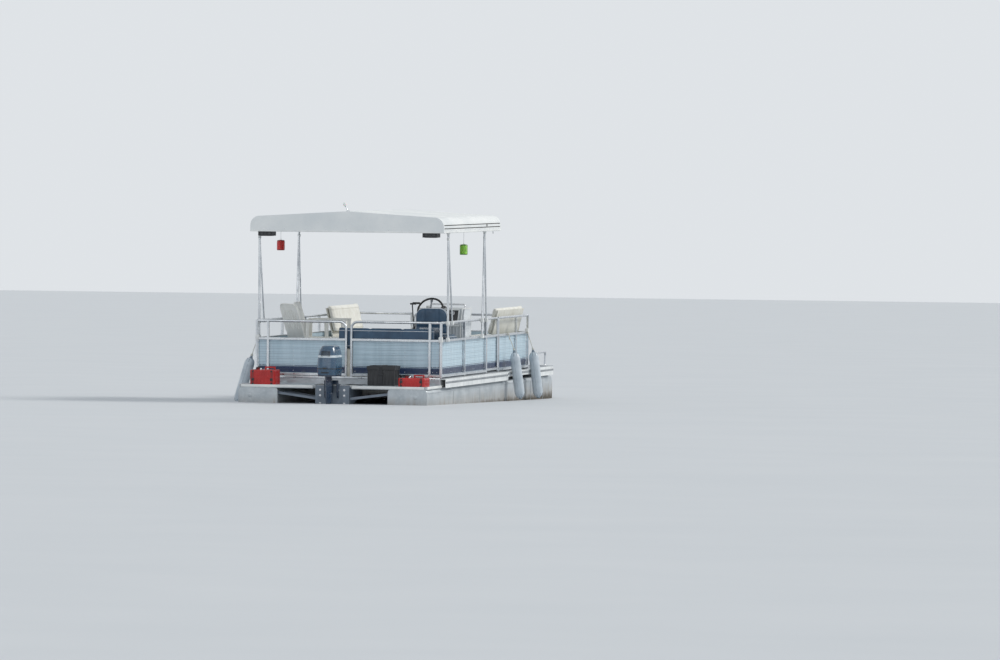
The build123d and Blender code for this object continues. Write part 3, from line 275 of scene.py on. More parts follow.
# Material helpers
class Shade:
    """A node material being built: its tree, its shader and short calls for the usual nodes."""

    def __init__(self, name, rough=0.5, metal=0.0, coat=0.0, sheen=0.0):
        self.material = bpy.data.materials.new(name)
        self.material.use_nodes = True
        self.tree = self.material.node_tree
        self.shader = self.tree.nodes["Principled BSDF"]
        values = (("Roughness", rough), ("Metallic", metal), ("Coat Weight", coat), ("Sheen Weight", sheen))
        for key, value in values:
            self.shader.inputs[key].default_value = value
        self.place = self.add("TexCoord", "Object", {})

    def add(self, kind, output, inputs, **settings):
        """A new node's output. Each input is a number, a vector or the socket that feeds it."""
        node = self.tree.nodes.new("ShaderNode" + kind)
        for key, value in settings.items():
            setattr(node, key, value)
        for key, value in inputs.items():
            if isinstance(value, bpy.types.NodeSocket):
                self.tree.links.new(value, node.inputs[key])
            else:
                node.inputs[key].default_value = value
        return node.outputs[output]

    def feed(self, value, key):
        """Lead a socket into one of the shader's inputs."""
        self.tree.links.new(value, self.shader.inputs[key])

    def stretched(self, scale):
        """The place in the boat's frame, stretched by a factor along each axis."""
        return self.add("Mapping", "Vector", {"Scale": scale, "Vector": self.place})

    def noise(self, scale, detail=4.0, rough=0.55, place=None):
        inputs = {"Scale": scale, "Detail": detail, "Roughness": rough, "Vector": place or self.place}
        return self.add("TexNoise", "Fac", inputs)

    def cells(self, scale, place=None, feature="F1"):
        inputs = {"Scale": scale, "Vector": place or self.place}
        return self.add("TexVoronoi", "Distance", inputs, feature=feature)

    def waves(self, scale, axis="X", twist=0.0):
        inputs = {"Scale": scale, "Distortion": twist, "Vector": self.place}
        return self.add("TexWave", "Fac", inputs, bands_direction=axis)

    def spread(self, value, low, high, out_low=0.0, out_high=1.0):
        """A value mapped from one range to another and held inside it."""
        inputs = {"Value": value, "From Min": low, "From Max": high, "To Min": out_low, "To Max": out_high}
        return self.add("MapRange", "Result", inputs)

    def sums(self, operation, first, second):
        return self.add("Math", "Value", {0: first, 1: second}, operation=operation)

    def plus(self, first, second):
        return self.sums("ADD", first, second)

    def times(self, first, second):
        return self.sums("MULTIPLY", first, second)

    def axis(self, letter, source=None):
        return self.add("SeparateXYZ", letter, {"Vector": source or self.place})

    def blend(self, amount, first, second):
        """A mix of two colours, each a colour or a socket."""
        node = self.tree.nodes.new("ShaderNodeMix")
        node.data_type = "RGBA"
        factor, *colours = (socket for socket in node.inputs if socket.enabled)
        self.tree.links.new(amount, factor)
        for socket, value in zip(colours, (first, second)):
            if isinstance(value, tuple):
                socket.default_value = (*value, 1)
            else:
                self.tree.links.new(value, socket)
        return next(socket for socket in node.outputs if socket.enabled)

    def color(self, value):
        self.feed(value, "Base Color")

    def roughness(self, value, low, high):
        self.feed(self.spread(value, 0.3, 0.7, low, high), "Roughness")

    def bump(self, height, strength, distance, under=None):
        inputs = {"Strength": strength, "Distance": distance, "Height": height}
        if under is not None:
            inputs["Normal"] = under
        normal = self.add("Bump", "Normal", inputs)
        self.feed(normal, "Normal")
        return normal


def dimmed(colour, share):
    """A colour with each part brought down to a share."""
    return tuple(part * share for part in colour)


def moulded(name, light, dark, rough=0.45, grain=900, depth=0.0004, coat=0.0, scale=5, uneven=0.1):
    """Moulded plastic or gelcoat: slow fading, dust in patches and a fine grain."""
    shade = Shade(name, rough=rough, coat=coat)
    fading = shade.spread(shade.noise(scale, 5), 0.35, 0.68)
    tone = shade.blend(fading, light, dark)
    specks = shade.spread(shade.noise(scale * 22, 3, 0.7), 0.62, 0.76, 0.0, 0.35)
    shade.color(shade.blend(specks, tone, dimmed(dark, 0.72)))
    shade.roughness(shade.noise(scale * 4, 4), max(0.05, rough - uneven), rough + 1.2 * uneven)
    shade.bump(shade.noise(grain, 2), 0.25, depth)
    return shade.material


def bare_metal(name, light, dark, rough=0.32, along=(1, 1, 1), grain=60):
    """Aluminium or steel: drawn grain along one way, dull patches and small pits."""
    shade = Shade(name, rough=rough, metal=1.0)
    patches = shade.spread(shade.noise(7, 6, 0.62), 0.36, 0.68)
    shade.color(shade.blend(patches, light, dark))
    drawn = shade.noise(grain, 3, 0.6, shade.stretched(along))
    uneven = shade.plus(shade.times(drawn, 0.6), shade.times(patches, 0.4))
    shade.roughness(uneven, max(0.08, rough - 0.1), rough + 0.16)
    shade.bump(drawn, 0.18, 0.0006)
    return shade.material


def painted(name, light, dark, rough=0.35, coat=0.25):
    """Painted metal: slight fading, run-off streaks and an orange-peel skin."""
    shade = Shade(name, rough=rough, coat=coat)
    streaks = shade.noise(18, 4, 0.6, shade.stretched((1, 1, 0.12)))
    fading = shade.plus(shade.times(streaks, 0.5), shade.times(shade.noise(6), 0.5))
    shade.color(shade.blend(shade.spread(fading, 0.4, 0.66), light, dark))
    shade.roughness(shade.noise(30), rough - 0.08, rough + 0.12)
    shade.bump(shade.noise(420, 2), 0.12, 0.0004)
    return shade.material


def vinyl(name, light, dark, rough=0.42):
    """Upholstery vinyl: leather-like grain, soft creases with painted shade along them, and a faint sheen.
    """
    shade = Shade(name, rough=rough, sheen=0.15)
    worn = shade.spread(shade.noise(9, 5), 0.38, 0.7)
    # Painted shade: thin darker streaks in the colour where creases would lie in shade
    crease_shade = shade.spread(shade.noise(34, 5, 0.7, shade.stretched((1, 0.5, 1))), 0.6, 0.72, 0.0, 0.4)
    shade.color(shade.blend(crease_shade, shade.blend(worn, light, dark), dimmed(dark, 0.8)))
    shade.roughness(shade.noise(40), rough - 0.08, rough + 0.14)
    grain = shade.cells(520, feature="SMOOTH_F1")
    folds = shade.bump(shade.noise(26, 4, 0.6), 0.22, 0.004)
    shade.bump(grain, 0.35, 0.0007, folds)
    return shade.material


def rope(name, light, dark):
    """Braided rope: strands, with the colour darker in the lay between them."""
    shade = Shade(name, rough=0.8, sheen=0.2)
    strands = shade.waves(95, "Z", 1.5)
    shade.color(shade.blend(shade.spread(strands, 0.2, 0.8), dark, light))
    shade.bump(strands, 0.6, 0.0015)
    return shade.material


def panel_material():
    """Fence panels: satin steel-blue, a navy stripe low on the outside with a pale line under it, and
    painted shade lines along the ribs' edges.
    """
    shade = Shade("panel_paint", rough=0.4, coat=0.06)
    streaks = shade.noise(14, 5, 0.62, shade.stretched((1, 1, 0.1)))
    body = shade.blend(shade.spread(streaks, 0.38, 0.68), steel_blue, steel_shade)
    z = shade.axis("Z")
    normal = shade.add("NewGeometry", "Normal", {})
    outward = shade.plus(
        shade.times(shade.axis("X", normal), shade.axis("X")),
        shade.times(shade.axis("Y", normal), shade.plus(shade.axis("Y"), -fence_middle_y)),
    )
    outside = shade.sums("GREATER_THAN", outward, 0.02)
    for low, high, colour in stripes:
        above = shade.sums("GREATER_THAN", z, deck_z + low)
        below = shade.sums("LESS_THAN", z, deck_z + high)
        body = shade.blend(shade.times(shade.times(above, below), outside), body, colour)
    # Painted shade: dark lines along the lower and upper edge of each rib, standing in for the shade in the
    # recesses
    place = shade.sums("FLOORED_MODULO", shade.sums("SUBTRACT", z, deck_z + rib_start), rib_step)
    edges = shade.plus(
        shade.sums("LESS_THAN", place, rib_edge),
        shade.times(shade.sums("GREATER_THAN", place, rib_wide),
                    shade.sums("LESS_THAN", place, rib_wide + 0.0045)),
    )
    body = shade.blend(shade.times(edges, 0.38), body, rib_shade_colour)
    grime = shade.spread(z, deck_z, deck_z + 0.09, 0.55, 0.0)
    grime = shade.times(grime, shade.spread(shade.noise(18, 5), 0.42, 0.62))
    shade.color(shade.blend(grime, body, (0.17, 0.17, 0.15)))
    shade.roughness(shade.noise(24), 0.3, 0.48)
    shade.bump(shade.noise(6, 3), 0.12, 0.006)
    return shade.material


def hull_material():
    """Pontoon aluminium: dull metal, a brown scum line at the water and streaks above it."""
    shade = Shade("hull_aluminium", rough=0.45, metal=0.85)
    z = shade.axis("Z")
    patches = shade.spread(shade.noise(4.5, 6, 0.6), 0.36, 0.66)
    drawn = shade.noise(30, 4, 0.6, shade.stretched((1, 0.08, 1)))
    metal = shade.blend(patches, hull_metal, hull_dull)
    metal = shade.blend(shade.spread(drawn, 0.5, 0.75, 0.0, 0.5), metal, hull_drawn)
    ragged = shade.plus(z, shade.times(shade.sums("SUBTRACT", shade.noise(9, 5), 0.5), 0.10))
    streaks = shade.spread(shade.noise(22, 4, 0.6, shade.stretched((1, 1, 0.06))), 0.5, 0.68)
    tan = shade.times(shade.spread(ragged, 0.02, 0.17, 0.85, 0.0), shade.spread(streaks, 0, 1, 0.45, 1.0))
    stained = shade.blend(tan, metal, stain_brown)
    scum = shade.spread(ragged, -0.02, 0.045, 1.0, 0.0)
    shade.color(shade.blend(scum, stained, stain_dark))
    shade.feed(shade.spread(scum, 0.0, 1.0, 0.62, 0.8), "Roughness")
    shade.feed(shade.spread(shade.sums("MAXIMUM", scum, tan), 0.0, 0.8, 0.65, 0.1), "Metallic")
    dents = shade.bump(shade.noise(3.2, 3), 0.35, 0.012)
    shade.bump(drawn, 0.12, 0.001, dents)
    return shade.material


def carpet_material():
    """Deck carpet: short tufted pile, trodden lighter down the middle."""
    shade = Shade("deck_carpet", rough=0.95, sheen=0.35)
    tufts = shade.noise(460, 3, 0.7)
    tone = shade.blend(shade.spread(tufts, 0.35, 0.65), carpet_dark, carpet_light)
    worn = shade.spread(shade.noise(1.8, 5), 0.46, 0.66, 0.0, 0.45)
    shade.color(shade.blend(worn, tone, carpet_worn))
    under = shade.bump(shade.noise(70, 3), 0.3, 0.003)
    shade.bump(tufts, 0.8, 0.002, under)
    return shade.material


def tread_material():
    """Stern platform plate: painted metal with raised non-slip pips."""
    shade = Shade("platform_plate", rough=0.5, metal=0.4)
    fading = shade.spread(shade.noise(7, 5), 0.38, 0.66)
    worn = shade.blend(fading, plate_light, plate_dull)
    dirt = shade.spread(shade.noise(15, 5, 0.7), 0.55, 0.72, 0.0, 0.6)
    shade.color(shade.blend(dirt, worn, plate_dirt))
    shade.roughness(shade.noise(20), 0.4, 0.62)
    sheet = shade.waves(9, "DIAGONAL")
    pips = shade.spread(shade.cells(38, shade.stretched((1, 0.6, 1))), 0.05, 0.18, 1.0, 0.0)
    shade.bump(pips, 0.5, 0.0018, shade.bump(sheet, 0.05, 0.001))
    return shade.material


def lantern_material(name, bright, deep):
    """Translucent coloured plastic with moulded ribs."""
    shade = Shade(name, rough=0.3, coat=0.3)
    shade.shader.inputs["Subsurface Weight"].default_value = 0.3
    shade.shader.inputs["Subsurface Scale"].default_value = 0.02
    shade.color(shade.blend(shade.spread(shade.noise(30, 3), 0.35, 0.65), bright, deep))
    shade.bump(shade.waves(40, "Z"), 0.3, 0.001)
    return shade.material


# Colours, as they look in plain light: a light tone and a darker one of the same
steel_blue, steel_shade = (0.51, 0.64, 0.72), (0.42, 0.55, 0.63)
# rib_shade_colour is painted shade: the dark lines drawn along the fence panels' ribs
navy_paint, pale_band, rib_shade_colour = (0.012, 0.030, 0.085), (0.70, 0.77, 0.80), (0.10, 0.16, 0.22)
dull_aluminium = (0.50, 0.53, 0.56)
hull_metal, hull_dull, hull_drawn = (0.53, 0.565, 0.59), (0.39, 0.43, 0.46), (0.60, 0.64, 0.66)
stain_brown, stain_dark = (0.20, 0.145, 0.085), (0.075, 0.065, 0.05)
carpet_dark, carpet_light, carpet_worn = (0.115, 0.135, 0.165), (0.22, 0.245, 0.28), (0.27, 0.28, 0.29)
plate_light, plate_dull, plate_dirt = (0.50, 0.54, 0.57), (0.36, 0.40, 0.43), (0.13, 0.125, 0.11)

# The panels' stripes as heights over the deck, their ribs with painted shade lines at the edges, and the
# fence's middle station
stripes = ((0.008, 0.040, pale_band), (0.042, 0.118, navy_paint), (0.124, 0.132, navy_paint))
rib_start, rib_step, rib_edge, rib_wide = 0.025, 0.060, 0.004, 0.020
fence_middle_y = -0.605

plastic_black = moulded("black_plastic", (0.018, 0.019, 0.022), (0.035, 0.037, 0.040), rough=0.5)
plastic_white = moulded("white_resin", (0.86, 0.86, 0.82), (0.77, 0.76, 0.71), rough=0.42)
gelcoat = moulded("roof_gelcoat", (0.80, 0.81, 0.80), (0.66, 0.69, 0.70), rough=0.68, grain=260,
                  depth=0.0003, scale=1.6, uneven=0.03)
bench_shell = moulded("bench_shell", (0.74, 0.73, 0.66), (0.60, 0.58, 0.50), rough=0.4, coat=0.15)
console_shell = moulded("console_shell", (0.68, 0.71, 0.73), (0.56, 0.60, 0.63), rough=0.35, coat=0.2)
tank_plastic = moulded("tank_red", (0.50, 0.020, 0.018), (0.34, 0.012, 0.012), rough=0.38, grain=500)
# The fenders are coloured a darker grey-blue than their white vinyl: painted shade
fender_vinyl = moulded("fender_vinyl", (0.54, 0.60, 0.65), (0.40, 0.46, 0.51), rough=0.35, scale=9)
rubber_black = moulded("black_rubber", (0.022, 0.022, 0.022), (0.05, 0.05, 0.048), rough=0.75)
rail_metal = bare_metal("rail_aluminium", (0.72, 0.74, 0.76), dull_aluminium, rough=0.3, along=(1, 1, 0.2))
beam_metal = bare_metal("beam_aluminium", dull_aluminium, (0.36, 0.38, 0.40), rough=0.5, along=(0.1, 1, 1))
bright_metal = bare_metal("bright_steel", (0.78, 0.78, 0.79), (0.62, 0.63, 0.65), rough=0.16, grain=120)
# The motor bracket's dark grey-blue is painted shade, standing in for the shade under the deck between the
# pontoons; the leg's anode shares this material
bracket_metal = painted("bracket_metal", (0.20, 0.24, 0.29), (0.12, 0.15, 0.19), rough=0.45, coat=0.05)
channel_paint = painted("channel_white", (0.80, 0.82, 0.82), (0.60, 0.63, 0.64), rough=0.38, coat=0.1)
motor_paint = painted("motor_paint", (0.022, 0.040, 0.072), (0.012, 0.024, 0.045), rough=0.3, coat=0.4)
cowl_paint = painted("cowl_paint", (0.034, 0.088, 0.155), (0.020, 0.054, 0.100), rough=0.24, coat=0.6)
cowl_pale = painted("cowl_pale", (0.62, 0.68, 0.72), (0.50, 0.56, 0.60), rough=0.25, coat=0.5)
cream = vinyl("vinyl_cream", (0.84, 0.83, 0.77), (0.71, 0.69, 0.61))
navy = vinyl("vinyl_navy", (0.030, 0.078, 0.140), (0.018, 0.050, 0.096), rough=0.36)
white_rope = rope("rope_white", (0.78, 0.78, 0.72), (0.45, 0.44, 0.38))
hull_paint = hull_material()
panel_paint = panel_material()
carpet = carpet_material()
tread_plate = tread_material()
red_lantern = lantern_material("lantern_red", (0.78, 0.035, 0.025), (0.55, 0.015, 0.012))
green_lantern = lantern_material("lantern_green", (0.30, 0.62, 0.06), (0.16, 0.42, 0.03))
red_lantern_cap = lantern_material("lantern_red_cap", (0.45, 0.02, 0.018), (0.30, 0.012, 0.010))
green_lantern_cap = lantern_material("lantern_green_cap", (0.10, 0.26, 0.03), (0.06, 0.18, 0.02))
globe_white = lantern_material("light_globe", (0.85, 0.86, 0.82), (0.72, 0.73, 0.68))
cream_piping = vinyl("piping_cream", (0.75, 0.73, 0.66), (0.62, 0.60, 0.52), rough=0.35)
pale_piping = vinyl("piping_pale", (0.62, 0.66, 0.70), (0.50, 0.54, 0.58), rough=0.35)
weld_metal = bare_metal("weld_bead", (0.52, 0.55, 0.57), (0.34, 0.37, 0.39), rough=0.4, grain=240)
white_trim = moulded("white_trim", (0.80, 0.81, 0.79), (0.64, 0.66, 0.66), rough=0.4)
rubber_grey = moulded("grey_rubber", (0.30, 0.32, 0.34), (0.20, 0.22, 0.24), rough=0.6)
lining_board = moulded("roof_lining", (0.58, 0.61, 0.62), (0.46, 0.49, 0.51), rough=0.7, grain=700)
grille_metal = painted("grille_metal", (0.045, 0.048, 0.052), (0.03, 0.032, 0.035), rough=0.5, coat=0.1)
dial_face = moulded("dial_face", (0.02, 0.022, 0.026), (0.035, 0.037, 0.042), rough=0.25, coat=0.6)
fender_end = moulded("fender_end", (0.20, 0.25, 0.30), (0.12, 0.16, 0.20), rough=0.4, coat=0.2)
webbing = vinyl("strap_webbing", (0.030, 0.032, 0.036), (0.018, 0.019, 0.022), rough=0.7)

# What each carried-over CAD node is made of
made_of = (
    (plastic_white, "armchair_aft armchair_forward"),
    (plastic_black, "battery_box speakers throttle"),
    (cream, "bench_backs bench_seat_port bench_seat_starboard"),
    (bench_shell, "bench_bases stern_bench_base"),
    (rail_metal, "bow_gate_frame side_gate_frame bow_rails rails_front rails_port rails_rear"),
    (rail_metal, "rails_starboard roof_frame roof_poles"),
    (panel_paint, "bow_gate_panel fence_panels side_gate_panel"),
    (bright_metal, "cleats helm_pedestal"),
    (console_shell, "console"),
    (beam_metal, "cross_beams"),
    (carpet, "deck"),
    (rubber_black, "engine_block steering_wheel"),
    (fender_vinyl, "fender_port fender_starboard_aft fender_starboard_forward"),
    (tank_plastic, "fuel_tank_port fuel_tank_starboard"),
    (navy, "helm_seat stern_bench_cushions"),
    (green_lantern, "lantern_green"),
    (red_lantern, "lantern_red"),
    (bracket_metal, "motor_bracket"),
    (motor_paint, "motor_clamp motor_leg motor_swivel propeller"),
    (cowl_paint, "motor_cowl"),
    (hull_paint, "pontoon_port pontoon_starboard"),
    (gelcoat, "roof_shell"),
    (channel_paint, "side_channels"),
    (globe_white, "stern_light"),
    (tread_plate, "stern_platform"),
)
for material, names in made_of:
    for name in names.split():
        mesh = nodes[name].data
        mesh.materials.clear()
        mesh.materials.append(material)
        smooth(mesh)
        mesh.set_sharp_from_angle(angle=sharp_from)


# Soft goods
cloth_settings = {
    "quality": 6, "mass": 0.3, "tension_stiffness": 18, "compression_stiffness": 18, "shear_stiffness": 8,
    "bending_stiffness": 2.5, "use_pressure": True, "uniform_pressure_force": 4,
}
cloth_steps = 20
seam_depth, seam_width = 0.011, 0.014
clamp_spare = 0.004
welt_radius = 0.0035


def swell(work, reach, held):
    """Push a mesh out as cloth under pressure, and hold each point within a reach of its start."""
    verts = work.data.vertices
    pinned = work.vertex_groups.new(name="held")
    cloth = work.modifiers.new("cloth", "CLOTH")
    for key, value in cloth_settings.items():
        setattr(cloth.settings, key, value)
    cloth.settings.effector_weights.gravity = 0
    cloth.collision_settings.use_collision = False
    if held is not None:
        pinned.add([v.index for v in verts if held(v.co)], 1.0, "REPLACE")
        cloth.settings.vertex_group_mass = "held"
    scene = bpy.context.scene
    for step in range(1, cloth_steps + 1):
        scene.frame_set(step)
    seen = work.evaluated_get(bpy.context.evaluated_depsgraph_get())
    moved = [v.co.copy() for v in seen.to_mesh().vertices]
    seen.to_mesh_clear()
    work.modifiers.clear()
    scene.frame_set(1)
    for v, after in zip(verts, moved):
        step = after - v.co
        if step.length > reach:
            step *= reach / step.length
        v.co = v.co + step


def puffed(mesh, voxel, reach, held=None):
    """Divide a closed mesh finely and swell it."""
    bpy.context.view_layer.update()
    work = bpy.data.objects.new("cushion_work", mesh)
    bpy.context.scene.collection.objects.link(work)
    remesh = work.modifiers.new("remesh", "REMESH")
    remesh.mode = "VOXEL"
    remesh.voxel_size = voxel
    work.data = bpy.data.meshes.new_from_object(work.evaluated_get(bpy.context.evaluated_depsgraph_get()))
    work.modifiers.clear()
    swell(work, reach, held)
    mesh = work.data
    bpy.data.objects.remove(work)
    return mesh


def relaxed(bm, factor):
    """Draw each point of a bmesh towards its neighbours by a share."""
    bmesh.ops.smooth_vert(bm, verts=bm.verts, factor=factor, use_axis_x=True, use_axis_y=True,
                          use_axis_z=True)
    return bm


def opened(mesh):
    """A bmesh of a mesh, smoothed once, with its normals up to date."""
    bm = bmesh.new()
    bm.from_mesh(mesh)
    relaxed(bm, 0.5).normal_update()
    return bm


def soft_piece(name, mesh, bm, material, body, node):
    """Show a shaped cushion in the place of its CAD node."""
    bmesh.ops.recalc_face_normals(bm, faces=bm.faces)
    bm.to_mesh(mesh)
    bm.free()
    piece = finish_piece(name, mesh, material, body)
    fine = piece.modifiers.new("fine", "SUBSURF")
    fine.levels = fine.render_levels = 1
    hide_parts(node)
    return piece


def dip(gap, depth, width):
    """How deep a sewn channel draws the surface in at a gap from its line."""
    return depth * math.exp(-((gap / width) ** 2))


def cushion(name, corner, opposite, material, body, node, piping, seams, round_by=0.04, voxel=0.011,
            lean=0.0, inset=0.008, reach=0.016, crown=0.010, flat=True):
    """A stuffed cushion between two corners: swollen, crowned, with sewn channels and two welts.

    seams is a list of (axis, place) pairs in metres. lean moves the top along X. A flat one keeps its base.
    """
    low, high = ordered(corner, opposite)
    middle, size = (low + high) / 2, high - low
    step = Vector((inset, inset, inset))
    outline = rounded_outline((low + step).xy, (high - step).xy, round_by, round_by, 4)
    levels = [(part, low.z + inset + (size.z - 2 * inset) * part) for part in (0, 0.25, 0.5, 0.75, 1)]
    block = Form().join([[(x + lean * part, y, z) for x, y in outline] for part, z in levels])
    base = low.z + inset + voxel
    mesh = puffed(block.mesh(name), voxel, reach, held=(lambda co: flat and co.z < base))
    bm = opened(mesh)
    for v in bm.verts:
        co, normal = v.co, v.normal
        local = Vector((co.x - lean * (co.z - low.z) / size.z, co.y, co.z))
        push = 0.0
        if not (flat and normal.z < -0.5):
            push = crown
            for i in range(3):
                if abs(normal[i]) < 0.7:
                    push *= max(0.0, 1 - (2 * (local[i] - middle[i]) / size[i]) ** 4)
            for letter, place in seams:
                push -= dip(local["xyz".index(letter)] - place, seam_depth, seam_width)
        wrinkle = noise.noise(co * 9) * 0.0018 + noise.noise(co * 31) * 0.0006
        v.co = co + normal * (push + wrinkle)
    for v in relaxed(bm, 0.3).verts:
        for i, shift in enumerate((lean * (v.co.z - low.z) / size.z, 0, 0)):
            v.co[i] = min(max(v.co[i], low[i] + shift - clamp_spare), high[i] + shift + clamp_spare)
        v.co.z = max(v.co.z, low.z)
    piece = soft_piece(name, mesh, bm, material, body, node)
    welts, outline = Form(), rounded_outline(low.xy, high.xy, round_by, round_by, 6)
    for part in (0.16, 0.84):
        add_welt(welts, piece, [(x + lean * part, y, low.z + size.z * part) for x, y in outline], 0.03,
                 0.00105)
    welts.piece(name + "_piping", piping, body)


def add_welt(form, piece, outline, step, lift):
    """A thin tube laid on a piece's own surface along a closed outline."""
    seen = piece.evaluated_get(bpy.context.evaluated_depsgraph_get())
    outline = [Vector(point) for point in outline]
    laid = []
    for a, b in zip(outline, outline[1:] + outline[:1]):
        count = max(1, int((b - a).length / step))
        for k in range(count):
            point = a + (b - a) * k / count
            hit, place, normal, _ = seen.closest_point_on_mesh(point)
            laid.append(place + normal * lift if hit else point)
    form.tube(laid, welt_radius, segments=8, closed=True)


bench_front, bench_hinge, bench_top = 0.5297, 0.9297, 0.7873
bench_back_lean, bench_back_depth = 0.0862, 0.066
hinge_line, hinge_z = 0.9387, 0.7803


def bench_cushions():
    """Seats, backs and the seat lids' hinges of both bow benches."""
    back_low, back_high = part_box("bench_backs")
    back_x = back_high.x - bench_back_lean
    for name, side in sides:
        low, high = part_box(f"bench_seat_{name}")
        start, end = low.y, high.y
        seams = [("y", place) for place in shares(start, end, (1 / 3, 2 / 3))]
        cushion(
            f"bench_seat_cushion_{name}", (side * bench_front, start, low.z),
            (side * bench_hinge, end, bench_top), cream, f"lid_{name}", f"bench_seat_{name}",
            cream_piping, seams, round_by=0.045,
        )
        cushion(
            f"bench_back_cushion_{name}", (side * (back_x - bench_back_depth), start, back_low.z),
            (side * back_x, end, back_high.z), cream, "boat", "bench_backs", cream_piping,
            seams + [("z", back_low.z + 0.16)], round_by=0.03, lean=side * bench_back_lean, flat=False,
        )
        hinges = Form()
        leaf, line, edge = side * (bench_hinge - 0.05), side * hinge_line, side * (bench_hinge - 0.006)
        for y in (start + 0.189, end - 0.187):
            hinges.box((leaf, y, low.z - 0.001), (side * (bench_hinge + 0.004), y + 0.028, low.z + 0.003),
                       bevel=0.001)
        for y in (start + 0.188, end - 0.188):
            hinges.tube([(line, y, hinge_z), (line, y + 0.030, hinge_z)], 0.007, 16)
        for y in (start + 0.203, end - 0.173):
            hinges.tube([(line, y, hinge_z - 0.004), (edge, y, hinge_z - 0.02)], 0.004, 10)
        hinges.piece(f"bench_lid_hinge_{name}", bright_metal, f"lid_{name}")


def stern_bench_cushions():
    """The navy seat and back along the rear fence, with light welts."""
    low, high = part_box("stern_bench_cushions")
    seams = [("x", place) for place in shares(low.x, high.x, (1 / 3, 2 / 3))]
    cushion(
        "stern_bench_back", low, (high.x, low.y + 0.070, high.z), navy, "boat", "stern_bench_cushions",
        pale_piping, seams, round_by=0.026, inset=0.006, reach=0.012, crown=0.006, flat=False,
    )
    cushion(
        "stern_bench_seat", (low.x, low.y + 0.0703, low.z), (high.x, high.y, low.z + 0.075), navy, "boat",
        "stern_bench_cushions", pale_piping, seams,
    )


def helm_cushions():
    """The helm seat's cushion and round-shouldered back."""
    low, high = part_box("helm_seat")
    seat_top = low.z + 0.090
    middle = (low.x + high.x) / 2
    channels = (middle - 0.09, middle + 0.09)
    cushion(
        "helm_seat_cushion", (low.x, low.y + 0.072, low.z), (high.x, high.y, seat_top), navy, "boat",
        "helm_seat", pale_piping, [("x", place) for place in channels],
        round_by=0.06, voxel=0.008, reach=0.013,
    )
    shoulder, steps, inset = 0.11, 8, 0.008
    half = (high.x - low.x) / 2 - inset
    foot = seat_top + 0.004 + inset
    feet = [(middle - half, foot), (middle + half, foot)]
    outline = rounded_outline(feet[0], (middle + half, high.z - inset), shoulder, 0, steps)
    outline = outline[:2 * (steps + 1)] + feet
    block = Form().join([[(x, y, z) for x, z in outline] for y in (low.y + inset, low.y + 0.070 - inset)])
    mesh = puffed(block.mesh("helm_seat_back"), 0.008, 0.012)
    bm = opened(mesh)
    for v in bm.verts:
        push = noise.noise(v.co * 11) * 0.0015
        if abs(v.normal.y) > 0.5:
            push -= dip(v.co.z - foot - 0.09, 0.008, 0.012)
            if v.co.z > foot + 0.05:
                push -= sum(dip(v.co.x - place, 0.010, 0.012) for place in channels)
        v.co = v.co + v.normal * push
        v.co.y = min(max(v.co.y, low.y - 0.006), low.y + 0.076)
        v.co.z = min(v.co.z, high.z + 0.004)
    back = soft_piece("helm_seat_back", mesh, bm, navy, "boat", "helm_seat")
    welts = Form()
    for y in (low.y + 0.004, low.y + 0.066):
        add_welt(welts, back, [(x, y, z) for x, z in outline], 0.02, 0.001)
    welts.piece("helm_back_piping", pale_piping)


# Hull and deck
weld_stations = (-2.10, -0.90, 0.30, 1.50, 2.10)
drain_plug = ((0.017, 0), (0.017, 0.004), (0.011, 0.006), (0.011, 0.012), (0.009, 0.014), (0, 0.014))
low_cap = ((0.024, 0), (0.024, 0.003), (0.020, 0.006), (0.012, 0.0075), (0, 0.0075))
beam_rows, beam_run = 9, 5.005
hatch_low, hatch_high, hatch_bar = (-0.30, -0.45), (0.30, 0.55), 0.022
lift_plate = ((0.034, 0), (0.034, 0.003), (0.029, 0.005), (0, 0.005))
deck_cover = ((0.10, 0), (0.10, 0.004), (0.088, 0.007), (0.085, 0.004), (0.030, 0.004),
              (0.026, 0.008), (0, 0.008))


def section(centre, y, grow=0.0):
    """Points round a pontoon's section at a station."""
    half = (pontoon_high.x - pontoon_low.x) / 2 + grow
    pairs = rounded_outline(
        (centre - half, pontoon_low.z - grow), (centre + half, pontoon_high.z + grow), 0.035, 0.150, 8
    )
    return [(x, y, z) for x, z in pairs]


def pontoon_details():
    """Weld seams, an end rim, a drain plug, a keel bar, a nose eye and the beams' brackets."""
    top = pontoon_high.z
    for name, side in sides:
        centre = side * (pontoon_low.x + pontoon_high.x) / 2
        welds, fittings = Form(), Form()
        for y in weld_stations:
            welds.tube(section(centre, y, grow=0.0005), 0.0035, segments=8, closed=True)
        welds.tube(section(centre, aft_y + 0.012), 0.0065, segments=8, closed=True)
        welds.piece(f"pontoon_welds_{name}", weld_metal)
        fittings.box((centre - 0.018, aft_y + 0.05, pontoon_low.z - 0.005),
                     (centre + 0.018, 1.95, pontoon_low.z))
        for edge in both:
            x = centre + edge * 0.2405
            fittings.box((x, aft_y + 0.08, 0.205), (x + edge * 0.004, 2.05, 0.222), bevel=0.0015)
        fittings.lathe((centre, aft_y, -0.10), -Y, drain_plug, 6)
        fittings.lathe((centre + side * 0.1, aft_y, 0.16), -Y, low_cap)
        fittings.loop((centre, nose_y - 0.075, 0.160), Y * 0.022, Z * 0.020, 20, 0.006)
        for row, y in enumerate(evenly(stern_y, stern_y + beam_run, beam_rows)):
            for x in (centre - 0.13, centre + 0.13):
                fittings.box((x - 0.03, y - 0.005, top), (x + 0.03, y, top + 0.06), bevel=0.001)
                if row:
                    fittings.box((x - 0.03, y - 0.05, top), (x + 0.03, y, top + 0.005), bevel=0.001)
                    fittings.studs([(x, y - 0.03, top + 0.005)], Z, 0.016, 0.006, 6)
                fittings.studs([(x, y - 0.005, top + 0.035)], -Y, 0.016, 0.006, 6)
        fittings.piece(f"pontoon_fittings_{name}", hull_paint)


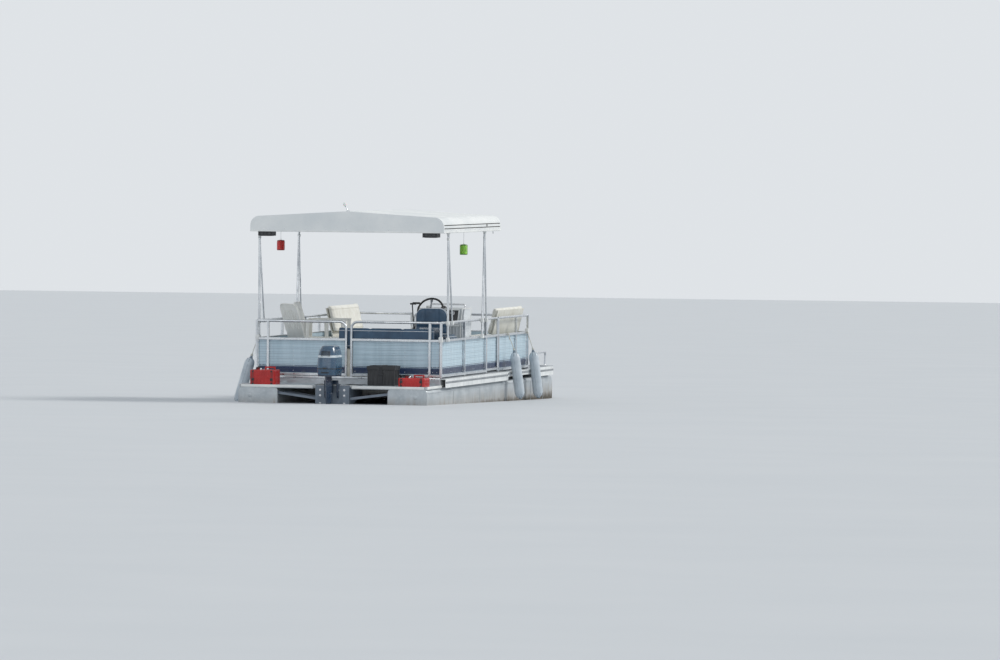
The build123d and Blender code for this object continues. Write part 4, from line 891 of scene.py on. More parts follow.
def frame_bars(low, high, wide, tall):
    """The four bars of a frame in a plane: two over its whole width and two between them."""
    (x0, y0), (x1, y1) = low, high
    return (
        ((x0, y0), (x1, y0 + tall)), ((x0, y1 - tall), (x1, y1)),
        ((x0, y0 + tall), (x0 + wide, y1 - tall)), ((x1 - wide, y0 + tall), (x1, y1 - tall)),
    )


def deck_details():
    """Edge trims round the deck and the stern platform, a floor hatch and a round inspection cover."""
    inner = channel_low.x + 0.073
    trim = Form()
    trim.box((inner, stern_y - 0.003, deck_z - 0.024), (-inner, stern_y + 0.022, deck_z + 0.003))
    trim.box((inner, fence_front + 0.004, deck_z), (-inner, fence_front + 0.034, deck_z + 0.004),
             bevel=0.0015)
    trim.box((-1.10, bow_y - 0.030, deck_z), (1.10, bow_y, deck_z + 0.004), bevel=0.0015)
    trim.studs([(x * 0.2, stern_y - 0.003, deck_z - 0.010) for x in range(-5, 6)], -Y, 0.010, 0.002)
    trim.piece("deck_trim", rail_metal)
    low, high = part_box("stern_platform")
    edge, strips = Form(), Form()
    foot, top = high.z - 0.028, high.z + 0.003
    for side in both:
        edge.box((side * 0.246, low.y - 0.006, foot), (side * (high.x - 0.030), low.y + 0.003, top),
                 bevel=0.003)
        edge.box((side * (high.x - 0.003), low.y + 0.030, foot),
                 (side * (high.x + 0.006), stern_y - 0.004, top), bevel=0.003)
        for row in range(6):
            y = low.y + 0.25 + row * 0.055
            strips.box((side * 0.05, y, high.z), (side * 0.30, y + 0.018, high.z + 0.0018),
                       bevel=0.0006, steps=1)
    edge.box((-0.243, low.y + 0.197, high.z - 0.030), (0.243, low.y + 0.204, top))
    edge.piece("platform_edge_trim", white_trim)
    strips.piece("platform_grip_strips", rubber_black)
    hatch = Form()
    for near, far in frame_bars(hatch_low, hatch_high, hatch_bar, hatch_bar):
        hatch.box((*near, deck_z), (*far, deck_z + 0.0035), bevel=0.001, steps=1)
    lift_y = hatch_high[1] - 0.12
    hatch.lathe((0, lift_y, deck_z), Z, lift_plate)
    hatch.loop((0, lift_y, deck_z + 0.007), X * 0.018, Y * 0.018, 20, 0.0025)
    hatch.lathe((0.45, 2.05, deck_z), Z, deck_cover, 36)
    hatch.piece("deck_hatch_frame", bright_metal)


def channel_details():
    """Rubbing strips on the side channels and across the bow, with their screws."""
    strip, screws = Form(), Form()
    for side in both:
        face = side * channel_high.x
        for start, end, drop in (
            (stern_y + 0.01, stern_y + 2.85, 0.050), (stern_y + 2.87, stern_y + 4.32, 0.036),
            (stern_y + 4.34, bow_y - 0.005, 0.050),
        ):
            z = channel_high.z - drop
            strip.box((face - side * 0.001, start, z - 0.012), (face + side * 0.006, end, z + 0.012),
                      bevel=0.003)
            count = int((end - start) / 0.3) + 1
            spots = [(face, y, z + 0.024) for y in evenly(start + 0.08, end - 0.08, count)]
            screws.studs(spots, X * side, 0.009, 0.002)
    front = channel_high.y
    strip.box((channel_low.x + 0.01, front - 0.001, 0.305), (channel_high.x - 0.01, front + 0.006, 0.329),
              bevel=0.003)
    screws.studs([(x * 0.23, front, 0.345) for x in range(-5, 6)], Y, 0.009, 0.002)
    strip.piece("rubbing_strips", rubber_grey)
    screws.piece("channel_screws", bright_metal)


# Fence
rivet_heights = (0.367, 0.307, 0.247, 0.187, 0.127, 0.067)
rivet_inset = 0.032
gate_post_gaps = ((2.028, 2.064), (2.586, 2.622))
gate_stations = (2.085, 2.565)
sleeve = ((0.0155, 0), (0.0172, 0.002), (0.0172, 0.042), (0.0155, 0.044))
knob = ((0, 0), (0.008, 0.001), (0.009, 0.006), (0.006, 0.011), (0.004, 0.012))
foot_plate = ((0.030, 0), (0.030, 0.003), (0.026, 0.006), (0.016, 0.007), (0.015, 0.014), (0.0135, 0.016))
cleat_horn = ((0.0095, 0), (0.0092, 0.02), (0.0078, 0.038), (0.0070, 0.048), (0.0078, 0.054),
              (0.0060, 0.059), (0, 0.0605))


def panel_rivets():
    """Rivets in the flat bands between the ribs, at each post and between the posts."""
    bands = [deck_z + height for height in rivet_heights]
    rows = {"boat": [], "side_gate": [], "bow_gate": []}
    low, high = stern_y + rivet_inset, fence_front - rivet_inset
    for side in both:
        gate = [stern_y + station for station in gate_stations] if side > 0 else []
        places = [(y, False) for y in side_posts] + [(y, True) for y in gate]
        for a, b in zip(side_posts, side_posts[1:]):
            places.append(((a + b) / 2, side > 0 and a < stern_y + gate_stations[0] < b))
        for y, on_gate in places:
            for z in bands:
                for place in (y,) if on_gate else (y - 0.024, y + 0.024):
                    behind = any(start < place - stern_y < end for start, end in gate_post_gaps)
                    if low < place < high and not (side > 0 and behind):
                        spot = Vector((side * (fence_outer - rivet_inset), place, z))
                        rows["side_gate" if on_gate else "boat"].append((spot, X * side))
    for y, way, stations in (
        (low, -Y, (0.075, 0.39, 0.70, 0.985, 1.045, 1.10)), (high, Y, (0.375, 0.62, 0.86, 1.10)),
    ):
        rows["boat"] += [((sign * x, y, z), way) for x in stations for sign in both for z in bands]
    rows["bow_gate"] = [((x, high, z), Y) for x in (-0.28, 0.0, 0.28) for z in bands]
    for body, spots in rows.items():
        rivets = Form()
        for place, way in spots:
            rivets.studs([place], way, 0.009, 0.0025)
        rivets.piece(f"panel_rivets_{body}", rail_metal, body)


def fence_fittings():
    """White corner castings on the middle rails, sleeves on the top rail and latches on the gates."""
    castings, sleeves = Form(), Form()
    top_z = deck_z + 0.663
    for side in both:
        for y, way in ((stern_y, 1), (fence_front, -1)):
            x = side * (fence_outer - 0.0145)
            castings.box(
                (x - side * 0.030, y - way * 0.0025, mid_rail_z - 0.034),
                (x + side * 0.017, y + way * 0.0445, mid_rail_z + 0.034), bevel=0.010, steps=3,
            )
            sleeves.lathe((side * (fence_outer - 0.015), y + way * 0.055 - 0.022, top_z), Y, sleeve)
    for x in (-1.085, 1.085):
        for y in (stern_y + 0.015, fence_front - 0.015):
            sleeves.lathe((x - 0.022, y, top_z), X, sleeve)
    castings.piece("corner_castings", white_trim)
    sleeves.piece("rail_sleeves", rail_metal)
    for body, base, out, along in (
        ("side_gate", Vector((fence_outer - 0.045, stern_y + 2.560, deck_z + 0.30)), X, Y),
        ("bow_gate", Vector((0.298, fence_front - 0.045, deck_z + 0.30)), Y, X),
    ):
        latch = Form()
        latch.box(base - out * 0.014 - along * 0.030 - Z * 0.02,
                  base + out * 0.002 + along * 0.014 + Z * 0.02, bevel=0.003)
        bolt, grip = base - out * 0.008, base - out * 0.008 - along * 0.012
        latch.tube([bolt - along * 0.04, bolt + along * 0.026], 0.005)
        latch.tube([grip, grip - out * 0.022], 0.004, 10)
        latch.lathe(grip - out * 0.032, out, knob, 16)
        latch.piece(f"gate_latch_{body}", bright_metal, body)


def bow_rail_details():
    """Round foot plates with screws under the low rails on the bow deck, and the two cleats."""
    low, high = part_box("bow_rails")
    feet, cleats = Form(), Form()
    for side in both:
        for y in (low.y + 0.190, bow_y - 0.100):
            x = side * (high.x - 0.0125)
            feet.lathe((x, y, deck_z), Z, foot_plate, 28)
            feet.studs(circle((x, y, deck_z + 0.004), X * 0.022, Y * 0.022, 3), Z, 0.007, 0.003)
    feet.piece("bow_rail_feet", bright_metal)
    low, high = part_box("cleats")
    y, top = (low.y + high.y) / 2, high.z - 0.009
    for side in both:
        x = side * (high.x - 0.009)
        cleats.box((x - 0.020, y - 0.048, deck_z), (x + 0.020, y + 0.048, deck_z + 0.006),
                   bevel=0.004, steps=3)
        cleats.studs([(x, y - 0.036, deck_z + 0.006), (x, y + 0.036, deck_z + 0.006)], Z, 0.011, 0.003, 16)
        for way in both:
            cleats.lathe((x, y + way * 0.018, top), Y * way, cleat_horn, 20)
        cleats.lathe((x, y - 0.018, top), Y, [(0.0095, 0), (0.0108, 0.018), (0.0095, 0.036)], 20)
        for way in both:
            leg = [(x, y + way * 0.026, deck_z + 0.004), (x, y + way * 0.014, deck_z + 0.022),
                   (x, y + way * 0.010, top)]
            cleats.tube(arc_points(leg, 0.02, 5), 0.0085, 14)
    piece = cleats.piece("deck_cleats", bright_metal)
    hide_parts("cleats")


# Hard top
hook_base = ((0.012, 0), (0.012, 0.003), (0.005, 0.005), (0.004, 0.012))
hook_bend = 0.013
side_lamp = ((0.016, 0), (0.016, 0.003), (0.010, 0.006), (0, 0.006))
light_rim = ((0.062, -0.004), (0.062, 0.004), (0.054, 0.007), (0.050, 0.005))
light_dome = ((0.050, 0), (0.048, 0.010), (0.036, 0.018), (0.018, 0.022), (0, 0.023))
pole_cup = ((0.026, 0), (0.026, 0.010), (0.018, 0.020), (0.0165, 0.034), (0.0145, 0.035))
pole_collar = ((0.0145, 0), (0.0185, 0.002), (0.0185, 0.026), (0.0145, 0.028))
lantern_rib = ((0.0455, 0), (0.0468, 0.004), (0.0455, 0.008), (0.0448, 0.010))
lantern_drum = (
    (0, 0.002), (0.036, 0.002), (0.041, 0.006),
    *((radius, 0.012 + k * 0.0125 + height) for k in range(8) for radius, height in lantern_rib),
    (0.043, 0.114),
)
lantern_lid = ((0.043, 0), (0.0465, 0.002), (0.0465, 0.007), (0.040, 0.012), (0.022, 0.015), (0.009, 0.017),
               (0, 0.0175))
lantern_base = ((0.040, 0), (0.0455, 0.001), (0.0465, 0.006), (0.0455, 0.012), (0.040, 0.012),
                (0.038, 0.002))
speaker_ring = ((0.027, 0), (0.027, 0.003), (0.023, 0.005), (0.022, 0.002))
speaker_cone = ((0.022, 0.0005), (0.016, 0.0025), (0.008, 0.004), (0, 0.0042))
light_foot = ((0.0245, -0.002), (0.0245, 0.003), (0.0195, 0.007), (0.0135, 0.012), (0.012, 0.018),
              (0, 0.019))
light_collar = ((0.009, 0), (0.0145, 0.003), (0.0150, 0.009), (0.012, 0.010))
light_crown = ((0.0115, 0), (0.0118, 0.003), (0.006, 0.0055), (0, 0.0056))


def turned(radius, turn):
    """A level vector of a length at an angle from starboard."""
    return X * (radius * math.cos(turn)) + Y * (radius * math.sin(turn))


def roof_details():
    """Side grooves, an eave bead, screws, hooks, a rear marker lamp and two cabin lights."""
    grooves, bead, screws, hooks = Form(), Form(), Form(), Form()
    low_z, high_z, screw_z = eave_z - 0.006, eave_z + 0.012, eave_z + 0.026
    for side in both:
        face = side * roof_high.x
        for z in (eave_z + 0.0475, eave_z + 0.0875):
            grooves.box((face - side * 0.0056, roof_low.y + 0.031, z - 0.005),
                        (face - side * 0.0036, roof_high.y - 0.031, z + 0.005), bevel=0.0008, steps=1)
        bead.box((face - side * 0.012, roof_low.y + 0.004, low_z),
                 (face + side * 0.003, roof_high.y - 0.004, high_z), bevel=0.004, steps=3)
        rows = evenly(roof_low.y + 0.12, roof_high.y - 0.12, 12)
        screws.studs([(face, y, screw_z) for y in rows], X * side, 0.011, 0.003, 12)
    for y, way in ((roof_low.y, -1), (roof_high.y, 1)):
        bead.box((0.008 - roof_high.x, y + way * 0.003, low_z),
                 (roof_high.x - 0.008, y - way * 0.012, high_z), bevel=0.004, steps=3)
    for x in evenly(-1.04, 1.04, 9):
        screws.studs([(x, roof_low.y, screw_z)], -Y, 0.011, 0.003, 12)
        screws.studs([(x, roof_high.y, screw_z)], Y, 0.011, 0.003, 12)
    for side in (1, -1):
        for x, y in ((side * 0.99, roof_low.y + 0.045), (side * 1.165, roof_high.y - 0.20)):
            hooks.lathe((x, y, eave_z), -Z, hook_base, 16)
            middle = Vector((x, y + hook_bend, eave_z - 0.024))
            turns = (math.radians(degrees) for degrees in range(0, 221, 20))
            bend = [middle - (Y * math.cos(t) + Z * math.sin(t)) * hook_bend for t in turns]
            hooks.tube([(x, y, eave_z - 0.010)] + bend, 0.0028, 10)
    grooves.piece("roof_grooves", rubber_black)
    bead.piece("roof_eave_bead", white_trim)
    screws.piece("roof_screws", bright_metal)
    hooks.piece("roof_hooks", bright_metal)
    lamp, domes, rims = Form(), Form(), Form()
    lamp.box((roof_high.x - 0.10, roof_high.y - 0.002, eave_z + 0.060),
             (roof_high.x - 0.035, roof_high.y + 0.016, eave_z + 0.095), bevel=0.006, steps=3)
    lamp.lathe((roof_high.x, roof_high.y - 0.65, eave_z + 0.07), X, side_lamp, 20)
    lamp.piece("roof_side_lamp", plastic_black)
    for y in (roof_low.y + 0.68, roof_high.y - 0.68):
        rims.lathe((0, y, eave_z + 0.040), -Z, light_rim, 32)
        domes.lathe((0, y, eave_z + 0.038), -Z, light_dome, 32)
    rims.piece("cabin_light_rims", white_trim)
    domes.piece("cabin_light_domes", globe_white)


def lining():
    """Pale lining boards between the roof bows, each with pressed lines."""
    low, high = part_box("roof_frame")
    bow, inner, bays, parts = 0.038, high.x - 0.040, 4, 8
    step, wide = (high.y - low.y - bow) / bays, 2 * inner / parts
    boards = Form()
    for bay in range(bays):
        for part in range(parts):
            x, y = part * wide - inner, low.y + bay * step
            near, far = (x + 0.0015, y + bow + 0.002), (x + wide - 0.0015, y + step - 0.002)
            boards.box((*near, eave_z + 0.030), (*far, eave_z + 0.0365), bevel=0.0022)
    boards.piece("roof_lining", lining_board)


def poles_details():
    """Bolts through the pole clamps, and cup feet where the poles meet the hard top."""
    bolts, white = Form(), Form()
    for side in both:
        x, face = side * (fence_outer + 0.016), side * (fence_outer + 0.035)
        for station, lean in ((0.199, 0.0), (1.750, 0.095)):
            y = stern_y + station
            for place, z in ((y, mid_rail_z - 0.026), (y, deck_z + 0.632), (y + 0.195, deck_z + 0.632)):
                white.box((side * (fence_outer - 0.002), place - 0.027, z - 0.002),
                          (face, place + 0.027, z + 0.048), bevel=0.006, steps=3)
                bolts.studs([(face, place, z + 0.010), (face, place, z + 0.036)], X * side, 0.011, 0.004, 6)
            head = y + lean
            white.lathe((x, head, eave_z), -Z, pole_cup, 28)
            bolts.studs([(x, head + k * 0.021, eave_z - 0.010) for k in both], -Z, 0.006, 0.002)
            white.lathe((x, head - 0.001, eave_z - 0.066), -Z, pole_collar)
    white.piece("pole_clamp_covers", white_trim)
    bolts.piece("pole_bolts", bright_metal)


def lanterns():
    """Coloured drums with fine ribs, a cap, a base ring, four stays and a hanging wire."""
    for name, material, dark in (
        ("lantern_red", red_lantern, red_lantern_cap), ("lantern_green", green_lantern, green_lantern_cap),
    ):
        low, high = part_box(name)
        foot = Vector(((low.x + high.x) / 2, (low.y + high.y) / 2, low.z))
        top = foot + Z * 0.130
        lens = Form().lathe(foot, Z, lantern_drum, 40).piece(name + "_drum", material)
        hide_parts(name)
        cap, wire = Form(), Form()
        cap.lathe(foot + Z * 0.112, Z, lantern_lid, 40).lathe(foot, Z, lantern_base, 40)
        for k in range(4):
            stay = foot + turned(0.0468, math.tau * (k + 0.25) / 4)
            cap.tube([stay + Z * z for z in (0.008, 0.060, 0.114)], 0.0014, 8)
        cap.piece(name + "_cap", dark)
        wire.loop(top + Z * 0.002, X * 0.006, Z * 0.006, 16, 0.0014)
        wire.tube([top + Z * 0.008, top + Z * 0.070, (foot.x, foot.y, high.z)], 0.0016, 8)
        wire.piece(name + "_wire", rubber_grey)


def speaker_details():
    """Bezels, pierced grilles and cones on the speakers under the eave."""
    low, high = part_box("speakers")
    z = (low.z + high.z) / 2
    bezels, grilles = Form(), Form()
    for side in both:
        x = side * (high.x - 0.090)
        for dx in (-0.046, 0.046):
            bezels.lathe((x + dx, low.y, z), -Y, speaker_ring, 32)
            grilles.lathe((x + dx, low.y, z), -Y, speaker_cone)
        bezels.box((x - 0.084, low.y - 0.0015, low.z + 0.002), (x + 0.084, low.y, high.z - 0.002),
                   bevel=0.0007, steps=1)
        bezels.box((x - 0.075, low.y + 0.02, low.z - 0.002), (x + 0.075, high.y - 0.02, low.z),
                   bevel=0.0009, steps=1)
        for row in range(7):
            y = low.y + 0.028 + row * 0.015
            grilles.box((x - 0.066, y, low.z - 0.0035), (x + 0.066, y + 0.006, low.z - 0.0015),
                        bevel=0.0006, steps=1)
    bezels.piece("speaker_bezels", plastic_black)
    grilles.piece("speaker_grilles", grille_metal)


def stern_light_details():
    """The all-round stern light: globe, collar, leaning stalk and a screwed base."""
    low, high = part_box("stern_light")
    foot = Vector((0, (low.y + high.y) / 2, ridge_z))
    ball = Vector((low.x + 0.025, foot.y, high.z - 0.025))
    lean = (ball - foot).normalized()
    mount = Form()
    mount.lathe(foot, Z, light_foot, 32)
    mount.tube([foot + lean * 0.006, ball - lean * 0.018], 0.0068, 16)
    mount.lathe(ball - lean * 0.026, lean, light_collar)
    spots = [foot + turned(0.020, math.tau * k / 3 + 0.4) + Z * 0.006 for k in range(3)]
    mount.studs(spots, Z, 0.006, 0.002)
    mount.piece("stern_light_mount", rail_metal)
    steps = (math.pi * k / 16 for k in range(17))
    sphere = [(0.024 * math.sin(turn), -0.98 * 0.024 * math.cos(turn)) for turn in steps]
    globe = Form().lathe(ball, lean, sphere, 32).lathe(ball + lean * 0.020, lean, light_crown)
    globe = globe.piece("stern_light_globe", globe_white)
    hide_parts("stern_light")


# Helm
dash_run, dash_rise = 0.090, 0.190
dials = ((0.090, 0.135, 0.034), (0.305, 0.150, 0.026), (0.375, 0.150, 0.026), (0.445, 0.150, 0.026),
         (0.350, 0.080, 0.022))
needle_cap = ((0.0025, 0), (0.0022, 0.001), (0, 0.0012))
column_foot = ((0.034, 0), (0.034, 0.004), (0.026, 0.010), (0.017, 0.013), (0.0135, 0.016))
hatch_pull = ((0.016, 0), (0.016, 0.003), (0.010, 0.005), (0, 0.005))
grab_foot = ((0.022, 0), (0.022, 0.003), (0.014, 0.006), (0.010, 0.007))
cup_ring = ((0.044, 0), (0.044, 0.004), (0.038, 0.006), (0.036, 0.030), (0.034, 0.031), (0.034, 0.006),
            (0, 0.006))
compass_bowl = ((0.036, 0), (0.036, 0.010), (0.032, 0.022), (0.022, 0.031), (0.010, 0.035), (0, 0.036))
wheel_radius, wheel_thick = 0.157, 0.0125
wheel_hub = ((0.029, 0), (0.031, 0.004), (0.031, 0.022), (0.028, 0.029), (0.022, 0.032), (0.021, 0.030),
             (0.012, 0.031), (0, 0.0325))


def console_details():
    """Dash frame, instruments, switches, ribs, a hatch, a grab bar and a compass on the console."""
    panel, frames, faces, bright = Form(), Form(), Form(), Form()
    x0, x1, y0, y1 = console_low.x, console_high.x, console_low.y, console_high.y - 0.006
    top, wide = console_high.z, x1 - x0
    dash_low = top - dash_rise
    slope = math.hypot(dash_run, dash_rise)
    along = Vector((0, dash_run / slope, dash_rise / slope))
    out = X.cross(along)
    place = Matrix((
        (1, 0, 0, x0), (0, along.y, out.y, y0), (0, along.z, out.z, dash_low), (0, 0, 0, 1),
    ))
    panel.box((0.045, 0.022, -0.001), (wide - 0.045, slope - 0.020, 0.003), bevel=0.0012, turn=place)
    for low, high in frame_bars((0.030, 0.010), (wide - 0.030, slope - 0.008), 0.014, 0.012):
        frames.box((*low, -0.001), (*high, 0.006), turn=place)
    for x, y, radius in dials:
        centre = place @ Vector((x, y, 0.002))
        inner = radius * 0.86
        ring = [(radius, 0), (radius, 0.006), (radius * 0.88, 0.008), (inner, 0.004)]
        bright.lathe(centre, out, ring, 32)
        faces.lathe(centre, out, [(inner, 0.001), (inner, 0.003), (0, 0.003)], 32)
        for degrees in evenly(-220, 40, 9):
            tick = math.radians(degrees)
            way = Vector((math.cos(tick), -math.sin(tick), 0)) * radius
            ends = [place @ (Vector((x, y, 0.0058)) + way * share) for share in (0.66, 0.78)]
            bright.tube(ends, 0.0006, 5)
        pivot = place @ Vector((x, y, 0.0062))
        bright.tube([pivot, place @ Vector((x + radius * 0.62, y, 0.0062))], 0.0008, 6)
        bright.lathe(pivot, out, needle_cap, 12)
    for k in range(5):
        x = 0.405 + k * 0.024
        faces.box((x - 0.008, 0.035, 0.003), (x + 0.008, 0.059, 0.008), turn=place)
    bright.lathe(place @ Vector((wheel_centre.x - x0, 0.098, 0.003)), out, column_foot, 28)
    panel.piece("dash_panel", plastic_black)
    faces.piece("dash_dials", dial_face)
    ribs = Form()
    for x in evenly(x0 + 0.045, x1 - 0.045, 13):
        ribs.box((x - 0.006, y0 - 0.004, deck_z + 0.075), (x + 0.006, y0 + 0.001, dash_low - 0.030))
    for low_z, high_z in ((deck_z + 0.045, deck_z + 0.066), (dash_low - 0.024, dash_low - 0.006)):
        frames.box((x0 + 0.018, y0 - 0.005, low_z), (x1 - 0.018, y0 + 0.001, high_z))
    brow = y0 + dash_run
    for x in (x0, x1):
        frames.tube([(x, y0, dash_low), (x, brow, top), (x, y1, top)], 0.006)
    for y, z, thick in ((brow, top, 0.006), (y0, dash_low, 0.005), (y1, top, 0.006)):
        frames.tube([(x0, y, z), (x1, y, z)], thick)
    for x in (x0, x1):
        frames.tube([(x, y0, deck_z + 0.01), (x, y0, dash_low)], 0.005)
        frames.tube([(x, y1, deck_z + 0.01), (x, y1, top)], 0.006)
    ribs.piece("console_ribs", console_shell)
    frames.piece("console_frames", white_trim)
    back = console_high.y
    hatch = Form()
    hatch.box((x1, y0 + 0.125, deck_z + 0.12), (x1 + 0.005, back - 0.055, deck_z + 0.52))
    hatch.box((x1, y0 + 0.14, deck_z + 0.56), (x1 + 0.005, back - 0.07, deck_z + 0.72))
    bright.lathe((x1 + 0.005, y0 + 0.150, deck_z + 0.32), X, hatch_pull)
    for z in (deck_z + 0.17, deck_z + 0.45):
        bright.tube([(x1 + 0.006, back - 0.052, z - 0.025), (x1 + 0.006, back - 0.052, z + 0.025)], 0.0045)
    hatch.piece("console_hatch", console_shell)
    left, right = Vector((x0 + 0.06, back - 0.05, top)), Vector((x1 - 0.06, back - 0.05, top))
    grab = [left - Z * 0.002, left + Z * 0.045, right + Z * 0.045, right - Z * 0.002]
    bright.tube(arc_points(grab, 0.03), 0.0095, 14)
    for foot in (left, right):
        bright.lathe(foot, Z, grab_foot)
    bright.piece("console_brightwork", bright_metal)
    Form().lathe((x0 + 0.115, y0 + 0.175, top), Z, cup_ring, 32).piece("console_cup_ring", white_trim)
    Form().lathe((x0 + 0.305, y0 + 0.165, top), Z, compass_bowl, 32).piece("console_compass", plastic_black)


def steering_wheel():
    """A padded rim with finger grips, three flat spokes and a hub cap, in the place of the CAD wheel."""
    back = wheel_axis.normalized()
    up = back.cross(X)
    rings = []
    for k in range(120):
        turn = math.tau * k / 120
        radial = X * math.cos(turn) + up * math.sin(turn)
        size = wheel_thick * (1 - 0.10 * max(0.0, math.cos(turn * 18)) ** 3)
        rings.append(circle(wheel_centre + radial * wheel_radius, radial * size, back * size, 16))
    piece = Form().join(rings, closed=True).piece("wheel_rim", rubber_black, "wheel")
    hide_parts("steering_wheel")
    spokes = Form()
    for k in range(3):
        turn = math.radians(150 + 120 * k)
        radial = X * math.cos(turn) + up * math.sin(turn)
        across = back.cross(radial)
        sections = []
        for share in (0.0, 0.2, 0.4, 0.6, 0.8, 1.0):
            reach = 0.022 + (wheel_radius - 0.026) * share
            half = 0.019 - 0.009 * math.sin(math.pi * min(1.0, share * 1.1)) + 0.004 * share
            middle = wheel_centre + radial * reach + back * (0.008 * (1 - share) ** 2)
            sections.append(circle(middle, across * half, back * 0.0042, 12))
        spokes.join(sections)
    spokes.piece("wheel_spokes", bright_metal, "wheel")
    hub = Form().lathe(wheel_centre + back * 0.017, -back, wheel_hub, 36)
    hub.piece("wheel_hub", plastic_black, "wheel")


# View, floor and light
backdrop, backdrop_level = (0.74, 0.77, 0.80), 1.0
fill_tint, fill_level = (0.88, 0.94, 1.0), 0.62
key_from, key_level, key_softness, key_tint = (0.75, 0.40, 0.62), 1.75, 18, (1.0, 0.97, 0.92)
stern_from, stern_level, stern_softness, stern_tint = (0.15, -1.0, 0.45), 0.55, 60, (1.0, 1.0, 1.0)
floor_pale, floor_shade = (0.60, 0.62, 0.64), (0.55, 0.575, 0.60)


def shown(name, data):
    """A new object in the scene."""
    item = bpy.data.objects.new(name, data)
    bpy.context.scene.collection.objects.link(item)
    return item


def place_camera():
    """The photo's viewpoint, far astern and a little to starboard, through a long lens."""
    yaw, drop, roll = (math.radians(v) for v in (camera_yaw, camera_drop, camera_roll))
    ahead = Vector((-math.sin(yaw) * math.cos(drop), math.cos(yaw) * math.cos(drop), -math.sin(drop)))
    right = Vector((math.cos(yaw), math.sin(yaw), 0))
    up = right.cross(ahead)
    level = right * math.cos(roll) + up * math.sin(roll)
    upright = up * math.cos(roll) - right * math.sin(roll)
    data = bpy.data.cameras.new("camera")
    data.lens, data.sensor_width, data.clip_end = camera_lens, camera_sensor, view_reach
    camera = shown("camera", data)
    columns = (level, upright, -ahead, camera_place)
    camera.matrix_world = Matrix([[column[i] for column in columns] for i in range(3)] + [[0, 0, 0, 1]])
    bpy.context.scene.camera = camera


def pale_floor():
    """A pale plane at the waterline, tilted as much as the running boat lifts its bow."""
    shade = Shade("floor_pale", rough=0.75)
    shade.color(shade.blend(shade.noise(0.6, 2), floor_pale, floor_shade))
    drop = math.tan(math.radians(bow_rise)) * floor_half
    mesh = bpy.data.meshes.new("floor")
    corners = [(x * floor_half, y * floor_half, -drop * y) for x, y in ((-1, -1), (1, -1), (1, 1), (-1, 1))]
    mesh.from_pydata(corners, [], [(0, 1, 2, 3)])
    mesh.materials.append(shade.material)
    floor = shown("floor", mesh)


def add_sun(name, from_way, level, softness, tint):
    """A distant light that shines from a way, with a softness in degrees."""
    data = bpy.data.lights.new(name, "SUN")
    data.energy, data.angle, data.color = level, math.radians(softness), tint
    sun = shown(name, data)
    sun.rotation_mode = "QUATERNION"
    sun.rotation_quaternion = Vector(from_way).to_track_quat("Z", "Y")


def studio_light():
    """A pale backdrop, gentle fill, a soft key from the starboard bow and one from astern."""
    world = bpy.data.worlds.new("studio")
    bpy.context.scene.world = world
    world.use_nodes = True
    tree = world.node_tree
    tree.nodes.clear()

    def add(kind, *feeds, **values):
        """A new node, with sockets led into its first inputs and named inputs set."""
        node = tree.nodes.new("ShaderNode" + kind)
        for source, socket in zip(feeds, node.inputs):
            tree.links.new(source, socket)
        for key, value in values.items():
            node.inputs[key].default_value = value
        return node

    seen = add("Background", Color=(*backdrop, 1), Strength=backdrop_level)
    fill = add("Background", Color=(*fill_tint, 1), Strength=fill_level)
    path = add("LightPath").outputs
    either = add("Math", path["Is Camera Ray"], path["Is Glossy Ray"])
    any_of = add("Math", either.outputs[0], path["Is Transmission Ray"])
    either.operation = any_of.operation = "MAXIMUM"
    mix = add("MixShader", any_of.outputs[0], fill.outputs[0], seen.outputs[0])
    add("OutputWorld", mix.outputs[0])
    add_sun("key", key_from, key_level, key_softness, key_tint)
    add_sun("astern", stern_from, stern_level, stern_softness, stern_tint)


# Outboard
throttle_grip = ((0, -0.046), (0.011, -0.046), (0.0125, -0.040), (0.0115, -0.020), (0.0125, 0.0),
                 (0.0115, 0.020), (0.0125, 0.040), (0.011, 0.046), (0, 0.046))
tell_tale = ((0.008, -0.004), (0.008, 0.012), (0.004, 0.016), (0.0025, 0.010))
bolt_pad = ((0.013, -0.001), (0.013, 0.002), (0, 0.002))
band_shares = (0.60, 0.625, 0.65, 0.675)
leg_y, plate_z = -3.481, -0.220
bracket_bolts = ((0.150, 0.235), (0.150, 0.170), (0.150, 0.075), (0.100, 0.030))


def throttle_details():
    """A rubber T grip on the remote control's lever."""
    low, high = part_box("throttle")
    place = ((low.x + high.x) / 2, high.y - 0.060, high.z - 0.004)
    Form().lathe(place, X, throttle_grip).piece("throttle_grip", rubber_black)


